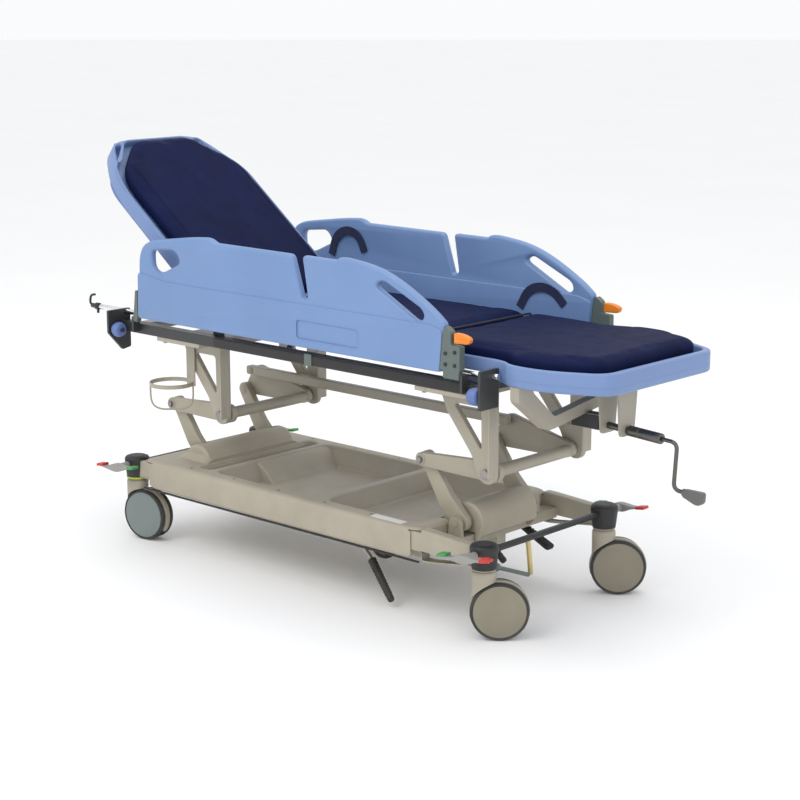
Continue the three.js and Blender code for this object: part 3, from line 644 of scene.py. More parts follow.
# ---- casters ----
for end_name, end in ENDS.items():
    for side_name, side in SIDES.items():
        corner = f"{end_name}_{side_name}"
        local = Matrix.Translation((end * STEM["x"], side * STEM["y"], 0)) @ Matrix.Rotation(
            math.radians(SWIVEL[corner]), 4, "Z"
        )
        tyres, discs = Piece(local), Piece(local)
        for way in (-1, 1):
            tyres.hollow(
                "y",
                WHEEL,
                [
                    (way * 9.9, 62), (way * 9.9, 72), (way * 11.4, 75.6), (way * 14.5, 77.7),
                    (way * 19, 78), (way * 23.5, 77.5), (way * 26.4, 75.2), (way * 27.4, 72),
                    (way * 26.6, 71), (way * 24.6, 70.6), (way * 24, 62),
                ],
                72,
            )
            discs.turn(
                "y",
                WHEEL,
                [
                    (way * 10.6, 8), (way * 10.6, 66), (way * 24.4, 66), (way * 24.6, 69.6),
                    (way * 25.6, 70.4), (way * 26.4, 69.4), (way * 26.7, 66), (way * 26.2, 62.5),
                    (way * 26.6, 60.5), (way * 27.2, 48), (way * 27.6, 30), (way * 27.8, 12),
                    (way * 27.8, 2),
                ],
                64,
            )
        discs.rod("y", (-11.5, 11.5), WHEEL, 8)
        tyres.done(
            f"caster_tyres_{corner}", f"wheels_{corner}", TYRE, "wheel_tread", f"caster_wheels_{corner}"
        )
        cool = DISC if end > 0 else COOL_DISC
        discs.done(f"caster_discs_{corner}", f"wheels_{corner}", cool, "wheel_tread")
        neck = Piece(local).turn(
            "z",
            (0, 0),
            [(92, 30), (96, 32.5), (170, 33), (178, 33), (183, 30), (185.5, 26)],
            48,
        )
        room = [Piece().turn("y", WHEEL, [(way * 8.4, 80.5), (way * 60, 80.5)], 64) for way in (-1, 1)]
        neck.carve(removed=room)
        hood = [
            (WHEEL[0] + 80 * math.cos(t), WHEEL[1] + 80 * math.sin(t), 0)
            for t in [math.radians(d) for d in range(-36, 200, 6)]
        ]
        hood = [*hood, (-28, 66, 6), (16, 60, 6), (26, 58, 6), (34, 64, 6), (52, 64, 6), (86, 46, 8)]
        neck.plate("XZ", hood, (-8.3, 8.3), 2.2)
        neck.rod("z", (182, 200), (0, 0), 14)
        neck.done(f"caster_yoke_{corner}", f"swivel_{corner}", PAINT, "base_paint", f"caster_fork_{corner}")


# ---- base ----
for side_name, side in SIDES.items():
    rail = Piece()
    outline = [
        (-690, 192, 4), (489, 192, 4), (489, 168, 6), (520, 168, 30), (640, 186, 30), (690, 192, 4),
        (690, 247, 4), (600, 252, 30), (512, 257, 20), (489, 257, 4), (489, 247, 4), (-690, 247, 4),
    ]
    rail.plate("XZ", outline, span(side, (244.4, 276)), 5)
    for end in ENDS.values():
        rail.turn(
            "z",
            (end * STEM["x"], side * STEM["y"]),
            [(186.5, 24), (187, 30), (188, 31.5), (190.4, 32)],
            56,
        )
    rail.done(f"rail_{side_name}", "base", PAINT, "base_paint", f"base_rail_{side_name}")
    caps = Piece()
    for end in ENDS.values():
        caps.turn(
            "z",
            (end * STEM["x"], side * STEM["y"]),
            [(190.6, 26), (190.8, 32.4), (206, 34.4), (240, 38), (248, 38), (253.5, 35), (256.6, 28)]
            + [(256.2, 25.6), (257.6, 24), (258.2, 2)],
            64,
        )
    caps.done(f"socket_caps_{side_name}", "base", CAP, "dark_rubber")
    bands = Piece().hollow(
        "z",
        (-STEM["x"], side * STEM["y"]),
        [(187, 31.6), (187, 33.2), (193, 33.8), (193, 32)],
        64,
    )
    bands.done(f"head_band_{side_name}", "base", LIME, "dark_rubber")

marks = {"red": (RED, 223, 231), "white": (WHITE, 214, 222.6)}
for name, (material, low, high) in marks.items():
    tag = Piece()
    rings = []
    for k in range(17):
        turn = math.radians(-150 + 120 * k / 16)
        ring = []
        for z, out in ((low, 0.1), (low, 1.3), (high, 1.3), (high, 0.1)):
            radius = 34.4 + (z - 206) * 3.6 / 34 + out
            ring.append((STEM["x"] + radius * math.cos(turn), -STEM["y"] + radius * math.sin(turn), z))
        rings.append(ring)
    tag.shell(rings)
    tag.done(f"cap_mark_{name}", "base", material, "dark_rubber")

for end_name, end in ENDS.items():
    x, z = end * STEM["x"], 232
    bar = Piece()
    bar.turn("y", (x, z), [(-344, 8), (-343, 9), (343, 9), (344, 8)], 6)
    bar.done(f"brake_rod_{end_name}", f"brake_{end_name}", BLACK, "pedal_steel", f"brake_bar_{end_name}")
    pedals, tips, backs = Piece(), Piece(), Piece()
    for side in SIDES.values():
        outline = [
            (x - 84, z - 5, 3), (x - 44, z - 8, 16), (x - 12, z - 12, 12), (x + 12, z - 12, 12),
            (x + 44, z + 3, 16), (x + 84, z + 10, 3), (x + 84, z + 14.5, 3), (x + 40, z + 8.5, 16),
            (x + 12, z + 12, 12), (x - 12, z + 12, 12), (x - 40, z - 2.5, 16), (x - 84, z - 0.5, 3),
        ]
        pedals.plate("XZ", outline, span(side, (327, 350)), 2)
        pedals.rod("y", span(side, (296, 329)), (x, z), 11, 1.5)
        for way, lift, tip in ((1, 12.2, tips), (-1, -2.8, backs)):
            toe = [
                (x + way * 86, z + lift + way * 0.6 - 4, 3), (x + way * 56, z + lift - way * 4 - 4, 3),
                (x + way * 56, z + lift - way * 4 + 4, 3),
                (x + way * 85, z + lift + way * 0.6 + 4.6, 3),
            ]
            tip.plate("XZ", toe, span(side, (325.5, 351.5)), 1.8)
    pedals.done(f"brake_pedals_{end_name}", f"brake_{end_name}", PEDAL, "pedal_steel")
    red, green = (tips, backs) if end > 0 else (backs, tips)
    red.done(f"brake_tips_red_{end_name}", f"brake_{end_name}", RED, "pedal_steel")
    green.done(f"brake_tips_green_{end_name}", f"brake_{end_name}", GREEN, "pedal_steel")


def hopper(xs, ys, radius, floor, rim, slope, flare=9.0):
    """The tool that sinks a pocket with a rounded foot, sloped walls and a rounded sill."""
    rings = []
    for k in range(5):
        turn = math.radians(90 * k / 4)
        rings.append((floor + 12 * (1 - math.cos(turn)), -slope - 12 * (1 - math.sin(turn))))
    rings.append((rim - flare, 0))
    for k in range(1, 5):
        turn = math.radians(86 * k / 4)
        rings.append((rim - flare + flare * math.sin(turn), flare * (1 - math.cos(turn))))
    rings.append((rim + 90, flare + 1))
    return Piece().shell([rounded_rect(xs, ys, radius, z, grow) for z, grow in rings])


def tray_cover():
    top, low = 257, 165
    plan = both([(-648, -275, 24), (-588, -283, 30), (448, -283, 30), (488, -267, 20), (489, -122, 0)])
    body = Piece().plate("XY", plan, (low, top), 15)
    head_hump = Piece().turn(
        "y",
        (PIVOT["head"], 247),
        [(-178, 46), (-177, 52), (-174, 56), (-169, 58), (169, 58), (174, 56), (177, 52), (178, 46)],
        72,
    )
    collar = Piece().shell(
        [
            rounded_rect((-590, -438), (-196, 196), 30, 240),
            rounded_rect((-588, -440), (-194, 194), 30, 258),
            rounded_rect((-576, -450), (-186, 186), 26, 265),
            rounded_rect((-562, -462), (-178, 178), 20, 276),
        ]
    )
    barrel = Piece().turn(
        "y",
        (PIVOT["foot"], 247),
        [(-118, 48), (-117, 53), (-114, 57), (-110, 58), (110, 58), (114, 57), (117, 53), (118, 48)],
        72,
    )
    nose = Piece().plate("XY", both([(462, -118, 0), (516, -118, 0)]), (low, 245), 3)
    divider = Piece().plate(
        "XZ",
        [(-384, 190, 0), (-384, 254, 6), (-356, 252, 16), (-330, 236, 24), (-300, 204, 16), (-270, 190, 0)],
        (-66, 236),
        8,
    )
    step = Piece().plate(
        "XZ",
        [(-384, 190, 0), (-384, 246, 6), (-366, 240, 14), (-348, 222, 14), (-330, 190, 0)],
        (-236, -60),
        6,
    )
    pockets = [
        hopper((-444, -392), (-228, 228), 18, 234, top, 4, 8),
        hopper((-366, 58), (-232, 232), 30, 200, top, 22),
        hopper((92, 436), (-232, 232), 34, 200, top, 22),
    ]
    underside = [
        Piece().box((-636, 460), (-236, 236), (low - 5, 191.9), 0.5),
        *[Piece().box((-760, 560), span(side, (241, 279)), (low - 5, 249.6), 0.5) for side in SIDES.values()],
        *[
            Piece().box((x - 29, x + 29), (-252, 252), (low - 5, 224), 0.5)
            for x in (PIVOT["head"], PIVOT["foot"])
        ],
        Piece().turn("y", (PIVOT["head"], 247), [(-171, 51), (171, 51)], 48),
        Piece().turn("y", (PIVOT["foot"], 247), [(-110, 51), (110, 51)], 48),
        Piece().box((-562, -458), (-171, 171), (low - 5, 247), 0.5),
        Piece().box((465, 567), (-110, 110), (low - 5, 247), 0.5),
        Piece().box((-700, -609), (-237, 237), (low - 5, 195), 0.5),
        Piece().box((460, 580), (-237, 237), (low - 5, 195), 0.5),
    ]
    slots = []
    for x in (PIVOT["head"], PIVOT["foot"]):
        for side in SIDES.values():
            outline = [
                (x - 62, low - 6, 0), (x + 60, low - 6, 0), (x + 40, top + 4, 8), (x - 20, top + 74, 0),
                (x - 120, top + 74, 0), (x - 72, top - 20, 8),
            ]
            slots.append(Piece().plate("XZ", outline, span(side, (123, 155)), 0.4))
    body.carve([head_hump, collar, barrel, nose], pockets)
    body.carve([divider, step], [*underside, *slots])
    body.done("tray_shell", "base", COVER, "cover_plastic", "tray_cover", math.radians(32), True)


tray_cover()
trim = Piece()
for side in SIDES.values():
    trim.box((-640, 486), span(side, (276.4, 283.6)), (164.4, 169), 1)
trim.done("tray_skirt_edge", "base", STRIP, "cover_plastic")
studs = Piece()
for x in (-450, -262, -75, 110, 290):
    for y in (-256, 256):
        studs.turn("z", (x, y), [(256, 4.6), (257.6, 4.6), (258.6, 3.6), (258.8, 1)], 24)
studs.done("tray_studs", "base", BOLT, "lever_steel")
label = Piece().plate(
    "XY", [(300, -272, 5), (416, -272, 5), (416, -246, 5), (300, -246, 5)], (256.6, 257.5), 0.2
)
label.done("blank_label", "base", WHITE, "cover_plastic")
for node in ("base_spine", "pivot_frame_head", "pivot_frame_foot"):
    keep(node, PAINT, 2)

# ---- small lever at the foot end of the base ----
lever = Piece()
lever.tube([(690, -75, 238, 0), (690, -66, 190, 30), (690, -58, 124, 0)], 7, 12, 0.35)
lever.done("release_strip", "base", BRASS, "lever_steel")
lever = Piece()
lever.tube([(692, -207, 180, 0), (692, -150, 158, 24), (692, -68, 126, 0)], 6.5, 14, 0.8)
lever.turn("x", (-207, 180), [(683, 8), (685, 11), (699, 11), (701, 8)], 24)
lever.done("release_lever", "base", BRACKET, "lever_steel")

# ---- steering wheel ----
keep("fifth_arm", STEEL, 1.0)
wheel = Piece().hollow(
    "y",
    (100, 84),
    [(-12.5, 38), (-12.5, 45), (-10.5, 48.6), (-6, 50), (6, 50), (10.5, 48.6), (12.5, 45), (12.5, 38)],
    56,
)
wheel.done("steering_tyre", "steering_wheel", TYRE, "wheel_tread", "fifth_wheel")
wheel = Piece().hollow(
    "y",
    (100, 84),
    [(-9, 37.8), (-11.6, 36), (-11.8, 30), (-6, 26), (-6, 18), (-12.3, 15), (-12.3, 6.4), (12.3, 6.4)]
    + [(12.3, 15), (6, 18), (6, 26), (11.8, 30), (11.6, 36), (9, 37.8)],
    48,
)
wheel.done("steering_hub", "steering_wheel", DISC, "wheel_tread")
for side_name, side in SIDES.items():
    top = Vector((205 + 50, side * 222, 128 - 8))
    tip = Vector((205 + 145, side * 242, 128 - 104))
    along = (tip - top).length + 8
    turn = Vector((0, 0, 1)).rotation_difference(tip - top).to_matrix().to_4x4()
    sleeve = Piece(Matrix.Translation(top) @ turn)
    profile = [(8, 7.6), (8, 11.6), (9.5, 12.2)]
    count = 12
    for k in range(count):
        at = 12 + (along - 30) * k / count
        fat = 11.8 - 1.6 * k / count
        profile += [
            (at, fat), (at + 2.2, fat + 0.6), (at + 4.4, fat + 0.6), (at + 6.2, fat),
            (at + 7.2, fat - 0.7),
        ]
    profile += [(along - 12, 10.2), (along - 5, 9.6), (along - 1, 7), (along, 3)]
    sleeve.turn("z", (0, 0), profile, 32)
    sleeve.done(
        f"lever_grip_{side_name}", "steering_arm", GRIP, "dark_rubber", f"fifth_grip_{side_name}",
        math.radians(60),
    )


# ---- lift pedal on the far side of the base ----
pedal = Piece()
pedal.tube([(380, 215, 178, 0), (418, 215, 164, 30), (440, 216, 154, 0)], 6, 14)
pedal.done("lift_pedal_stem", "base", STEEL, "lever_steel")
ahead = math.atan2(-54, 122)
sole = Piece(Matrix.Translation((432, 216, 157)) @ Matrix.Rotation(-ahead, 4, "Y"))
sole.plate("XY", [(0, -11, 6), (124, -17, 10), (124, 17, 10), (0, 11, 6)], (-6, 6), 2.5)
for k in range(9):
    start, end = 28 + k * 10, 33 + k * 10
    sole.plate("XY", [(start, -13, 1), (end, -13, 1), (end, 13, 1), (start, 13, 1)], (5.5, 7.6), 0.8)
sole.done("lift_pedal_pad", "base", GRIP, "dark_rubber")

# ---- lift ----
for end_name in ENDS:
    px = PIVOT[end_name]
    pivot, knee = (px, 255), (px - 122, 413)
    pin, horn = (px + 130, 420), (px - 83, 479)
    bend = (px - 54, 309)
    for side_name, side in SIDES.items():
        arm = Piece()
        ys = span(side, (128, 150))
        arm.plate("XZ", link_outline(knee, 20, bend, 26), ys, 2.5)
        lower = Piece().plate("XZ", link_outline(bend, 26, pivot, 27), (ys[0] + 0.02, ys[1] - 0.02), 2.5)
        arm.carve([lower])
        for at in (knee, pivot):
            arm.turn("y", at, [(side * 149, 17), (side * 151, 17), (side * 151.6, 16)], 32)
            arm.turn("y", at, [(side * 129, 17), (side * 127, 17), (side * 126.4, 16)], 32)
        arm.done(
            f"link_{end_name}_{side_name}",
            f"links_{end_name}",
            PAINT,
            "base_paint",
            f"lower_link_{end_name}_{side_name}",
        )
    arms = Piece()
    arms.plate("XZ", link_outline(knee, 19, pin, 28), (-171, -152), 2.5)
    far = [(horn[0] - 13, horn[1] + 8, 8), (horn[0] + 10, horn[1] + 14, 10), (pin[0] + 12, pin[1] + 20, 14)]
    far += [(pin[0] + 22, pin[1] - 6, 12), (pin[0] - 2, pin[1] - 22, 14), (knee[0] + 2, knee[1] - 19, 12)]
    far += [(knee[0] - 19, knee[1] - 2, 12)]
    arms.plate("XZ", far, (152, 171), 2.5)
    arms.rod("y", (-154, 154), pin, 17, 1)
    arms.rod("y", (-205, 205), pin, 10, 1)
    arms.rod("y", (119, 154), horn, 7, 1)
    for side in SIDES.values():
        arms.rod("y", span(side, (125, 154)), knee, 9, 1)
        arms.turn("y", knee, [(side * 170, 16), (side * 172.4, 16), (side * 173, 15)], 32)
    arms.done(f"arms_{end_name}", f"rocker_{end_name}", PAINT, "base_paint", f"rocker_{end_name}")
    heads = Piece()
    for side in SIDES.values():
        heads.bolt("y", (knee[0], side * 172.6, knee[1]), 9, side)
        heads.turn("y", pin, [(side * 199, 13), (side * 205.5, 13), (side * 206, 11.5)], 32)
    heads.bolt("y", (horn[0], 171.2, horn[1]), 7, 1)
    heads.done(f"arm_bolts_{end_name}", f"rocker_{end_name}", BOLT, "lever_steel")

    x, z, top = *pin, 651.7
    outline = [
        (x - 156, top, 0), (x + 30, top, 0), (x + 30, z - 12, 14), (x + 15, z - 27, 12),
        (x - 12, z - 27, 16), (x - 32, z - 4, 18), (x - 48, z + 43, 14), (x - 136, z + 150, 14),
        (x - 156, z + 196, 6),
    ]
    window = [(x - 16, z + 60, 14), (x - 18, z + 176, 12), (x - 112, z + 176, 14)]
    leg = Piece()
    for side in SIDES.values():
        leg.plate("XZ", outline, span(side, (180, 198)), 3, [window])
        leg.box((x + 24.4, x + 29.4), span(side, (190, 220)), (z - 6, top), 1.5)
        leg.hollow(
            "y",
            pin,
            [(side * 179.4, 10.6), (side * 179.4, 19), (side * 177.6, 18), (side * 177.6, 10.6)],
            40,
        )
    leg.box((x - 156, x - 118), (-302, 302), (top - 12, top), 1.5)
    for side in SIDES.values():
        leg.box((x - 119, x + 30), span(side, (34, 302)), (top - 12, top), 1.5)
    leg.done(f"leg_{end_name}", "bed", FRAME_PAINT, "base_paint", f"leg_frame_{end_name}")
    heads = Piece()
    for side in SIDES.values():
        for dx in (-136, 8):
            heads.bolt("z", (x + dx, side * 226, top - 12), 7, -1)
            heads.bolt("z", (x + dx, side * 286, top - 12), 7, -1)
    heads.done(f"leg_bolts_{end_name}", "bed", BOLT, "lever_steel")

a, b = (PIVOT["head"] - 83, 479), (PIVOT["foot"] - 83, 479)
sync = Piece()
outline = [(a[0] - 18, 465, 9), (b[0] + 18, 465, 9), (b[0] + 18, 493, 9), (a[0] - 18, 493, 9)]
sync.plate("XZ", outline, (122.4, 147.6), 3)
for at in (a, b):
    sync.turn("y", at, [(123, 12), (121, 12), (120.4, 11)], 32)
sync.done("tie_bar", "sync_bar", FRAME_PAINT, "base_paint", "sync_bar")

# ---- bed frame ----
for side_name, side in SIDES.items():
    keep(f"side_rail_{side_name}", RAIL, 1.5)
for node in ("cross_tube_head", "strut_cross", "foot_yoke"):
    keep(node, FRAME_PAINT, 2)
for end_name, end in ENDS.items():
    start = -696 if end < 0 else 701
    for side_name, side in SIDES.items():
        roller = Piece().hollow(
            "x",
            (side * 327, 659),
            [
                (start + 0.4, 6.5), (start + 0.4, 16), (start + 2, 19), (start + 8, 21.4),
                (start + 13, 22.7), (start + 15, 22.9), (start + 17, 22.7), (start + 22, 21.4),
                (start + 28, 19), (start + 29.6, 16), (start + 29.6, 6.5),
            ],
            48,
        )
        corner = f"{end_name}_{side_name}"
        roller.done(f"bumper_{corner}", f"bumper_{corner}", ROLLER, "roller_blue", f"bumper_roller_{corner}")
for side_name, side in SIDES.items():
    strip = Piece()
    outline = [(-284, 655, 6), (694, 655, 6), (694, 680, 6), (-284, 680, 6)]
    strip.plate("XZ", outline, span(side, (302.2, 306)), 1.6)
    strip.done(f"rail_strip_{side_name}", "bed", STRIP, "bracket_grey")
    clip = Piece()
    outline = [(88, 650, 3), (116, 650, 3), (116, 684, 3), (88, 684, 3)]
    clip.plate("XZ", outline, span(side, (305.8, 307.8)), 0.8)
    clip.done(f"strip_clip_{side_name}", "bed", BRACKET, "bracket_grey")

housing = Piece()
housing.plate("YZ", [(-17, 542, 6), (17, 542, 6), (17, 584, 6), (-17, 584, 6)], (783.5, 872.5), 2)
housing.done("crank_housing", "bed", BLACK, "dark_rubber")


# ---- decks ----
def foot_plan(grow):
    return both(
        [
            (446 - grow, -262 - grow, 6), (752, -262 - grow, 40), (792, -296 - grow, 50),
            (910, -296 - grow, 70), (1062 + grow * 0.7, -226 - grow * 0.6, 46),
        ]
    )


deck = Piece()
foot_pocket = both([(466, -252, 8), (756, -252, 40), (796, -284, 50), (904, -284, 60), (1038, -222, 40)])
deck.plate("XY", foot_plan(0), (690, 746), 6, [foot_pocket], 10)
deck.plate("XY", foot_plan(-6), (692, 721.6), 3)
deck.done("foot_panel", "bed", DECK, "panel_blue", "foot_deck")
groove = Piece()
groove.plate("XY", foot_plan(0.6), (709, 710.6), 0.5, [foot_plan(-3)], 10)
groove.done("foot_panel_joint", "bed", DECK, "panel_blue")
deck = Piece()
deck.plate("XY", both([(-270, -258, 20), (442, -258, 14)]), (690, 722), 6)
deck.plate("XY", both([(-262, -262, 10), (438, -262, 10)]), (694, 702), 2)
deck.done("seat_panel", "bed", DECK, "panel_blue", "seat_deck")


def back_plan(inset, start, end, corner=60):
    return both(
        [
            (-end, -172 + inset * 0.6, corner), (-end + 165, -262 + inset, corner + 30),
            (-start, -262 + inset, 12),
        ]
    )


def back_pad_plan(inset, start, corner=34):
    return both(
        [
            (-BACK_LENGTH + 12 + inset, -118 + inset * 0.7, corner),
            (-BACK_LENGTH + 152 + inset * 0.5, -250 + inset, corner + 44), (-start, -250 + inset, 10),
        ]
    )


slot_holes = [
    [
        (-BACK_LENGTH + 20, side * -142, 8), (-BACK_LENGTH + 20, side * -167, 8),
        (-BACK_LENGTH + 92, side * -205, 8), (-BACK_LENGTH + 80, side * -190, 8),
    ]
    for side in SIDES.values()
]
deck = Piece(BACKREST)
deck.plate("XY", back_plan(0, 22, BACK_LENGTH), (-12, 38), 7, [*slot_holes, back_pad_plan(-3, 44, 20)], 12)
deck.plate("XY", back_pad_plan(-6, 24, 20), (-10, 15.6), 4)
for side in SIDES.values():
    deck.rod("y", span(side, (236, 271)), (0, 0), 8)
    deck.plate("XZ", [(-60, -8, 4), (0, -8, 7), (8, 0, 4), (0, 8, 7), (-60, 8, 4)], span(side, (238, 260)), 2)
    deck.plate("XZ", link_outline((-160, -45), 10, (-160, -8), 16), span(side, (9, 15)), 1.2)
deck.done("back_panel", "backrest", DECK, "panel_blue", "back_deck")
ribs = Piece(BACKREST)
for y in (-190, -95, 95, 190):
    ribs.plate("XZ", [(-690, -12, 2), (-60, -12, 2), (-60, -18, 4), (-690, -18, 4)], (y - 12, y + 12), 2)
ribs.done("back_panel_ribs", "backrest", DECK, "panel_blue")


# ---- mattresses ----
SWELL_ROOM = 9.0  # the pads start this much lower than they end, in millimetres
SWELL_CAP = 0.010  # furthest that a point may swell, in metres
PAD_VOXEL = 0.0065
CLOTH_FRAMES = 20


def inflate(mesh):
    """Cloth pressure swells the pad. No point moves further than SWELL_CAP."""
    start = [vertex.co.copy() for vertex in mesh.vertices]
    holder = held(mesh)
    cloth = holder.modifiers.new("cloth", "CLOTH")
    settings = cloth.settings
    settings.use_pressure = True
    settings.uniform_pressure_force = 4.0
    settings.effector_weights.gravity = 0
    settings.quality = 4
    settings.mass = 0.3
    settings.tension_stiffness = settings.compression_stiffness = 12
    settings.shear_stiffness = 6
    cloth.point_cache.frame_start, cloth.point_cache.frame_end = 1, CLOTH_FRAMES
    for at in range(1, CLOTH_FRAMES + 1):
        bpy.context.scene.frame_set(at)
    graph = bpy.context.evaluated_depsgraph_get()
    swollen = bpy.data.meshes.new_from_object(holder.evaluated_get(graph))
    bpy.context.scene.frame_set(1)
    bpy.data.objects.remove(holder)
    for vertex, rest in zip(swollen.vertices, start):
        moved = vertex.co - rest
        if moved.length > SWELL_CAP:
            moved *= SWELL_CAP / moved.length
        vertex.co = rest + moved
    return swollen


def pad(name, body, node, outline, heights, local, seams, bumps):
    """A boxed cushion: swollen by cloth pressure, then pressed with its seams."""
    piece = Piece()
    low, high = heights
    piece.plate("XY", outline, (low + 1.5, high - SWELL_ROOM), 12, steps=10)
    mesh = piece.mesh(False)
    mesh.transform(Matrix.Scale(0.001, 4))
    holder = held(mesh)
    remesh = holder.modifiers.new("remesh", "REMESH")
    remesh.mode, remesh.voxel_size = "VOXEL", PAD_VOXEL
    mesh = applied(holder)
    mesh = inflate(mesh)
    holder = held(mesh)
    smooth = holder.modifiers.new("smooth", "SMOOTH")
    smooth.iterations = 3
    fine = holder.modifiers.new("fine", "SUBSURF")
    fine.levels = fine.render_levels = 1
    mesh = applied(holder)
    for vertex in mesh.vertices:
        x, y, z = vertex.co * 1000
        top = max(0.0, min(1.0, (z - low) / (high - low) * 2 - 0.6))
        dip = 0.0
        for seam, depth, width in seams:
            away = seam(x, y)
            dip += depth * math.exp(-((away / width) ** 2))
        for kind in bumps:
            dip -= kind(x, y)
        z = z - dip * top
        z = min(max(z, low), high)
        vertex.co = Vector((x, y, z)) / 1000
    mesh.transform(Matrix.Scale(1000, 4))
    mesh.transform(PLACE @ local)
    made = finish(mesh, name, body, NAVY, "cover_vinyl", node, None)
    return made


def line_away(x0, y0, x1, y1):
    """Distance from the line through two points, on both sides of the long axis."""
    length = math.hypot(x1 - x0, y1 - y0)
    return lambda x, y: ((abs(y) - y0) * (x1 - x0) - (x - x0) * (y1 - y0)) / length


def wrinkle(at, turn, long, wide, height):
    """A soft fold: a ridge beside a furrow."""
    c, s = math.cos(turn), math.sin(turn)

    def value(x, y):
        u = (x - at[0]) * c + (y - at[1]) * s
        v = -(x - at[0]) * s + (y - at[1]) * c
        return height * math.exp(-((u / long) ** 2)) * (
            math.exp(-((v / wide) ** 2)) - 0.6 * math.exp(-(((v - 1.6 * wide) / wide) ** 2))
        )

    return value


back_outline = back_pad_plan(7, 34, 30)
seam_side = line_away(-724, 200, 0, 200)
pad(
    "back_pad",
    "backrest",
    "back_mattress",
    back_outline,
    (17, 70),
    BACKREST,
    [(seam_side, 4.0, 5.0)],
    [
        wrinkle((-90, -120), 1.2, 60, 9, 2.6),
        wrinkle((-130, 40), 1.7, 80, 10, 2.2),
        wrinkle((-70, 150), 1.4, 50, 8, 2.4),
        wrinkle((-220, -30), 1.5, 110, 14, 1.4),
        wrinkle((-420, 60), 1.9, 90, 16, 1.0),
    ],
)
pad(
    "seat_pad",
    "bed",
    "seat_mattress",
    both([(-234, -244, 22), (432, -244, 12)]),
    (723, 776),
    Matrix.Identity(4),
    [(line_away(-240, 200, 440, 200), 2.4, 5.0)],
    [
        wrinkle((-190, -90), 1.5, 90, 9, 2.2),
        wrinkle((-160, 110), 1.7, 70, 8, 1.8),
        wrinkle((60, -40), 1.4, 120, 16, 1.2),
        wrinkle((330, 80), 1.6, 90, 14, 1.2),
    ],
)
pad(
    "foot_pad",
    "bed",
    "foot_mattress",
    both([(456, -242, 12), (752, -243, 30), (794, -275, 44), (896, -276, 60), (1026, -214, 34)]),
    (723, 776),
    Matrix.Identity(4),
    [(line_away(456, 222, 1026, 222), 1.2, 5.0)],
    [
        wrinkle((520, -60), 1.5, 100, 12, 1.4),
        wrinkle((700, 70), 1.2, 120, 18, 1.4),
        wrinkle((930, -60), 2.2, 100, 16, 1.2),
    ],
)
piping = Piece()
piping.tube([(444, -238, 758, 0), (444, -234, 768, 10), (444, 234, 768, 10), (444, 238, 758, 0)], 3.2, 10)
piping.done("pad_piping", "bed", PIPING, "cover_vinyl")

# ---- backrest strut ----
gas = Piece(STRUT)
gas.hollow("y", (0, 0), [(-12, 6.4), (-12, 11), (-11, 12), (11, 12), (12, 11), (12, 6.4)], 36)
gas.turn("x", (0, 0), [(10, 7), (12, 9), (16, 12), (149, 12), (151.4, 11), (152, 7)], 40)
gas.done("gas_cylinder", "strut_cylinder", BLACK, "lever_steel", "strut_cylinder")
gas = Piece(STRUT)
gas.rod("x", (92, 216), (0, 0), 5.9, 0.8)
gas.rod("y", (-7, 7), (223.5, 0), 9, 1)
gas.done("gas_rod", "strut_rod", CHROME, "chrome", "strut_rod")

# ---- side guards ----
GUARD = [
    (-592, 703, 14), (596, 703, 10), (606, 800, 12), (612, 829, 12), (564, 866, 80), (461, 922, 90),
    (373, 953, 70), (264, 965, 26), (236, 963, 8), (226, 955, 8), (98, 956, 14), (118, 842, 9),
    (98, 836, 9), (58, 955, 14), (-250, 957, 8), (-278, 970, 18), (-350, 965, 40), (-549, 938, 50),
    (-584, 900, 36),
]
HEAD_HOLE = [(-528, 912, 20), (-424, 922, 20), (-400, 886, 18), (-490, 846, 26), (-526, 858, 20)]
FOOT_SLOT = [(366, 903, 17), (394, 920, 17), (532, 858, 17), (541, 836, 15), (518, 824, 15)]
LOWER = [
    (-592, 704, 14), (595, 704, 10), (602, 780, 10), (604, 812, 10), (560, 824, 20), (340, 824, 10),
    (110, 824, 10), (-330, 824, 10), (-470, 826, 10), (-588, 842, 14),
]
RECESS = [(79, 728, 10), (311, 728, 10), (311, 779, 10), (79, 779, 10)]
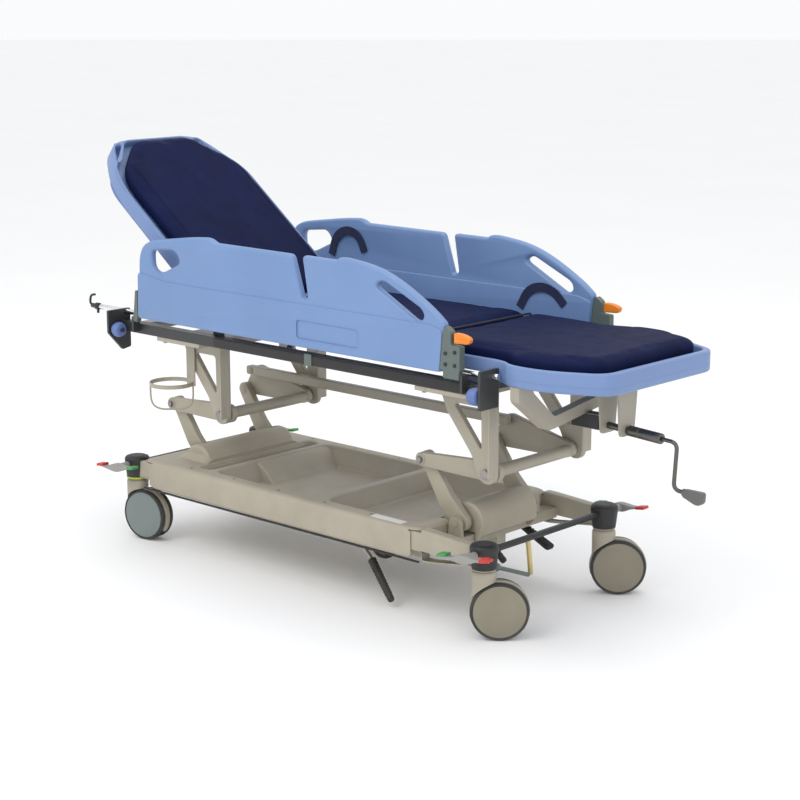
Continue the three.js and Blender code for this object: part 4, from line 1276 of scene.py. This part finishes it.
for side_name, side in SIDES.items():
    guard = Piece()
    guard.plate("XZ", GUARD, span(side, (300, 323.6)), 8.5, [HEAD_HOLE, FOOT_SLOT], 8)
    guard.plate("XZ", LOWER, span(side, (311, 327)), 3.4, [RECESS], 8)
    guard.plate("XZ", LOWER, span(side, (297, 311)), 3.4, (), 8)
    guard.done(f"guard_{side_name}", f"guard_{side_name}", PANEL, "panel_blue", f"side_guard_{side_name}")
    rim = Piece()
    outer = [(75, 724, 12), (315, 724, 12), (315, 783, 12), (75, 783, 12)]
    rim.plate("XZ", outer, span(side, (324, 327.7)), 1.2, [RECESS])
    rim.done(f"guard_recess_rim_{side_name}", f"guard_{side_name}", PANEL, "panel_blue")
    straps = Piece()
    for points in (
        [(355, 767, 0), (385, 820, 50), (435, 838, 60), (480, 826, 50), (515, 790, 0)],
        [(-397, 848, 0), (-380, 905, 50), (-330, 934, 60), (-280, 920, 50), (-257, 868, 0)],
    ):
        line = rounded([(x, z, r) for x, z, r in points], False, 8)
        y = side * 296.2
        width = 13
        rings = []
        for i, at in enumerate(line):
            ahead = (line[min(i + 1, len(line) - 1)] - line[max(i - 1, 0)]).normalized()
            across = Vector((-ahead[1], ahead[0]))
            ends = [at + across * width, at - across * width]
            puff = math.sin(math.pi * i / (len(line) - 1)) * 5
            ring = []
            for point, depth in ((ends[0], 0), (ends[1], 0), (ends[1], 2.2), (ends[0], 2.2)):
                ring.append((point[0], y - side * (depth + puff), point[1]))
            rings.append(ring)
        straps.shell(rings)
    straps.done(f"guard_straps_{side_name}", f"guard_{side_name}", WEBBING, "cover_vinyl")
    for end_name in ENDS:
        keep(f"guard_bracket_{end_name}_{side_name}", BRACKET, 1.5)
    heads = Piece()
    for x, z in ((617, 728), (617, 756), (648, 728), (648, 762)):
        heads.bolt("y", (x, side * 326, z), 5, side, False)
    heads.done(f"bracket_bolts_{side_name}", f"guard_{side_name}", BLACK, "lever_steel")
    latch = Piece()
    outline = [
        (642, 784, 5), (690, 786, 10), (696, 798, 8), (690, 805, 10), (668, 811, 12), (642, 811, 5),
    ]
    latch.plate("XZ", outline, span(side, (307.5, 324.5)), 3.5, (), 8)
    latch.plate(
        "XZ", [(652, 789, 4), (684, 791, 4), (684, 797, 4), (652, 797, 4)], span(side, (324, 326)), 0.8
    )
    latch.done(f"latch_{side_name}", f"latch_{side_name}", ORANGE, "latch_orange", f"guard_latch_{side_name}")

# ---- drip pole, cup holder and crank ----
pole = Piece()
pole.rod("x", (-832, 756), (-282, 707), 8, 1.5, 32)
pole.done("drip_pole_chrome", "drip_pole", CHROME, "chrome", "drip_pole")
hook = Piece()
hook.rod("x", (-862, -833), (-282, 707), 7, 1.5, 32)
hook.tube([(-856, -282, 707, 0), (-872, -282, 712, 10), (-868, -282, 738, 14), (-846, -282, 742, 0)], 3.6, 14)
hook.rod("z", (686, 707), (-834, -282), 4, 1, 20)
hook.rod("x", (-842, -826), (-282, 707), 10.5, 1.5, 32)
hook.done("drip_pole_hook", "drip_pole", BLACK, "lever_steel")

cx, cy, cz = -548, -240, 500
holder = Piece()
holder.hollow("z", (cx, cy), [(cz - 6, 63.4), (cz - 6, 66), (cz + 6, 66), (cz + 6, 63.4)], 72)
facing = math.radians(42.5)


def wire(along, height, soft):
    return (cx + along * math.cos(facing), cy + along * math.sin(facing), cz + height, soft)


holder.tube(
    [
        wire(-64, 4, 0), wire(-64, -60, 30), wire(-40, -80, 24), wire(40, -80, 24), wire(64, -60, 30),
        wire(64, 4, 0),
    ],
    2.8,
    12,
)
holder.plate("YZ", [(-206, 494, 1), (-202, 494, 1), (-202, 639, 1), (-206, 639, 1)], (cx + 30, cx + 66), 0.8)
holder.done("bottle_ring", "bed", FRAME_PAINT, "base_paint", "cup_holder")

handle = Piece(CRANK)
handle.rod("x", (-150, 60), (0, 0), 9, 1)
handle.turn(
    "x",
    (0, 0),
    [(28, 12), (29, 14), (60, 14), (61, 13), (63, 13), (64, 14), (128, 14), (130, 12.5)],
    40,
)
handle.tube([(100, 0, 0, 0), (176, 0, 0, 20), (176, 0, -122, 20), (258, 0, -122, 0)], 5.4, 20)
handle.done("crank_rod", "crank", DARK_STEEL, "lever_steel", "crank_shaft")
paddle = Piece(CRANK)
outline = [
    (207, -131, 7), (254, -146, 14), (268, -138, 10), (268, -110, 10), (254, -110, 10), (207, -113, 7),
]
paddle.plate("XZ", outline, (-11, 11), 3.5)
paddle.rod("x", (205, 214), (0, -122), 9.6, 1)
paddle.done("crank_paddle", "crank_grip", PADDLE, "lever_steel", "crank_grip")

# ---- floor ----
floor = bpy.data.meshes.new("floor")
floor.from_pydata([(-60, -60, 0), (60, -60, 0), (60, 60, 0), (-60, 60, 0)], [], [(0, 1, 2, 3)])
ground = Finish("floor", (0.945, 0.945, 0.945), (0.7, 0.8)).vary(0.8, 0.01)
floor.materials.append(ground.done())
floor_piece = bpy.data.objects.new("floor", floor)
floor_piece.location.z = -0.0005
bpy.context.scene.collection.objects.link(floor_piece)
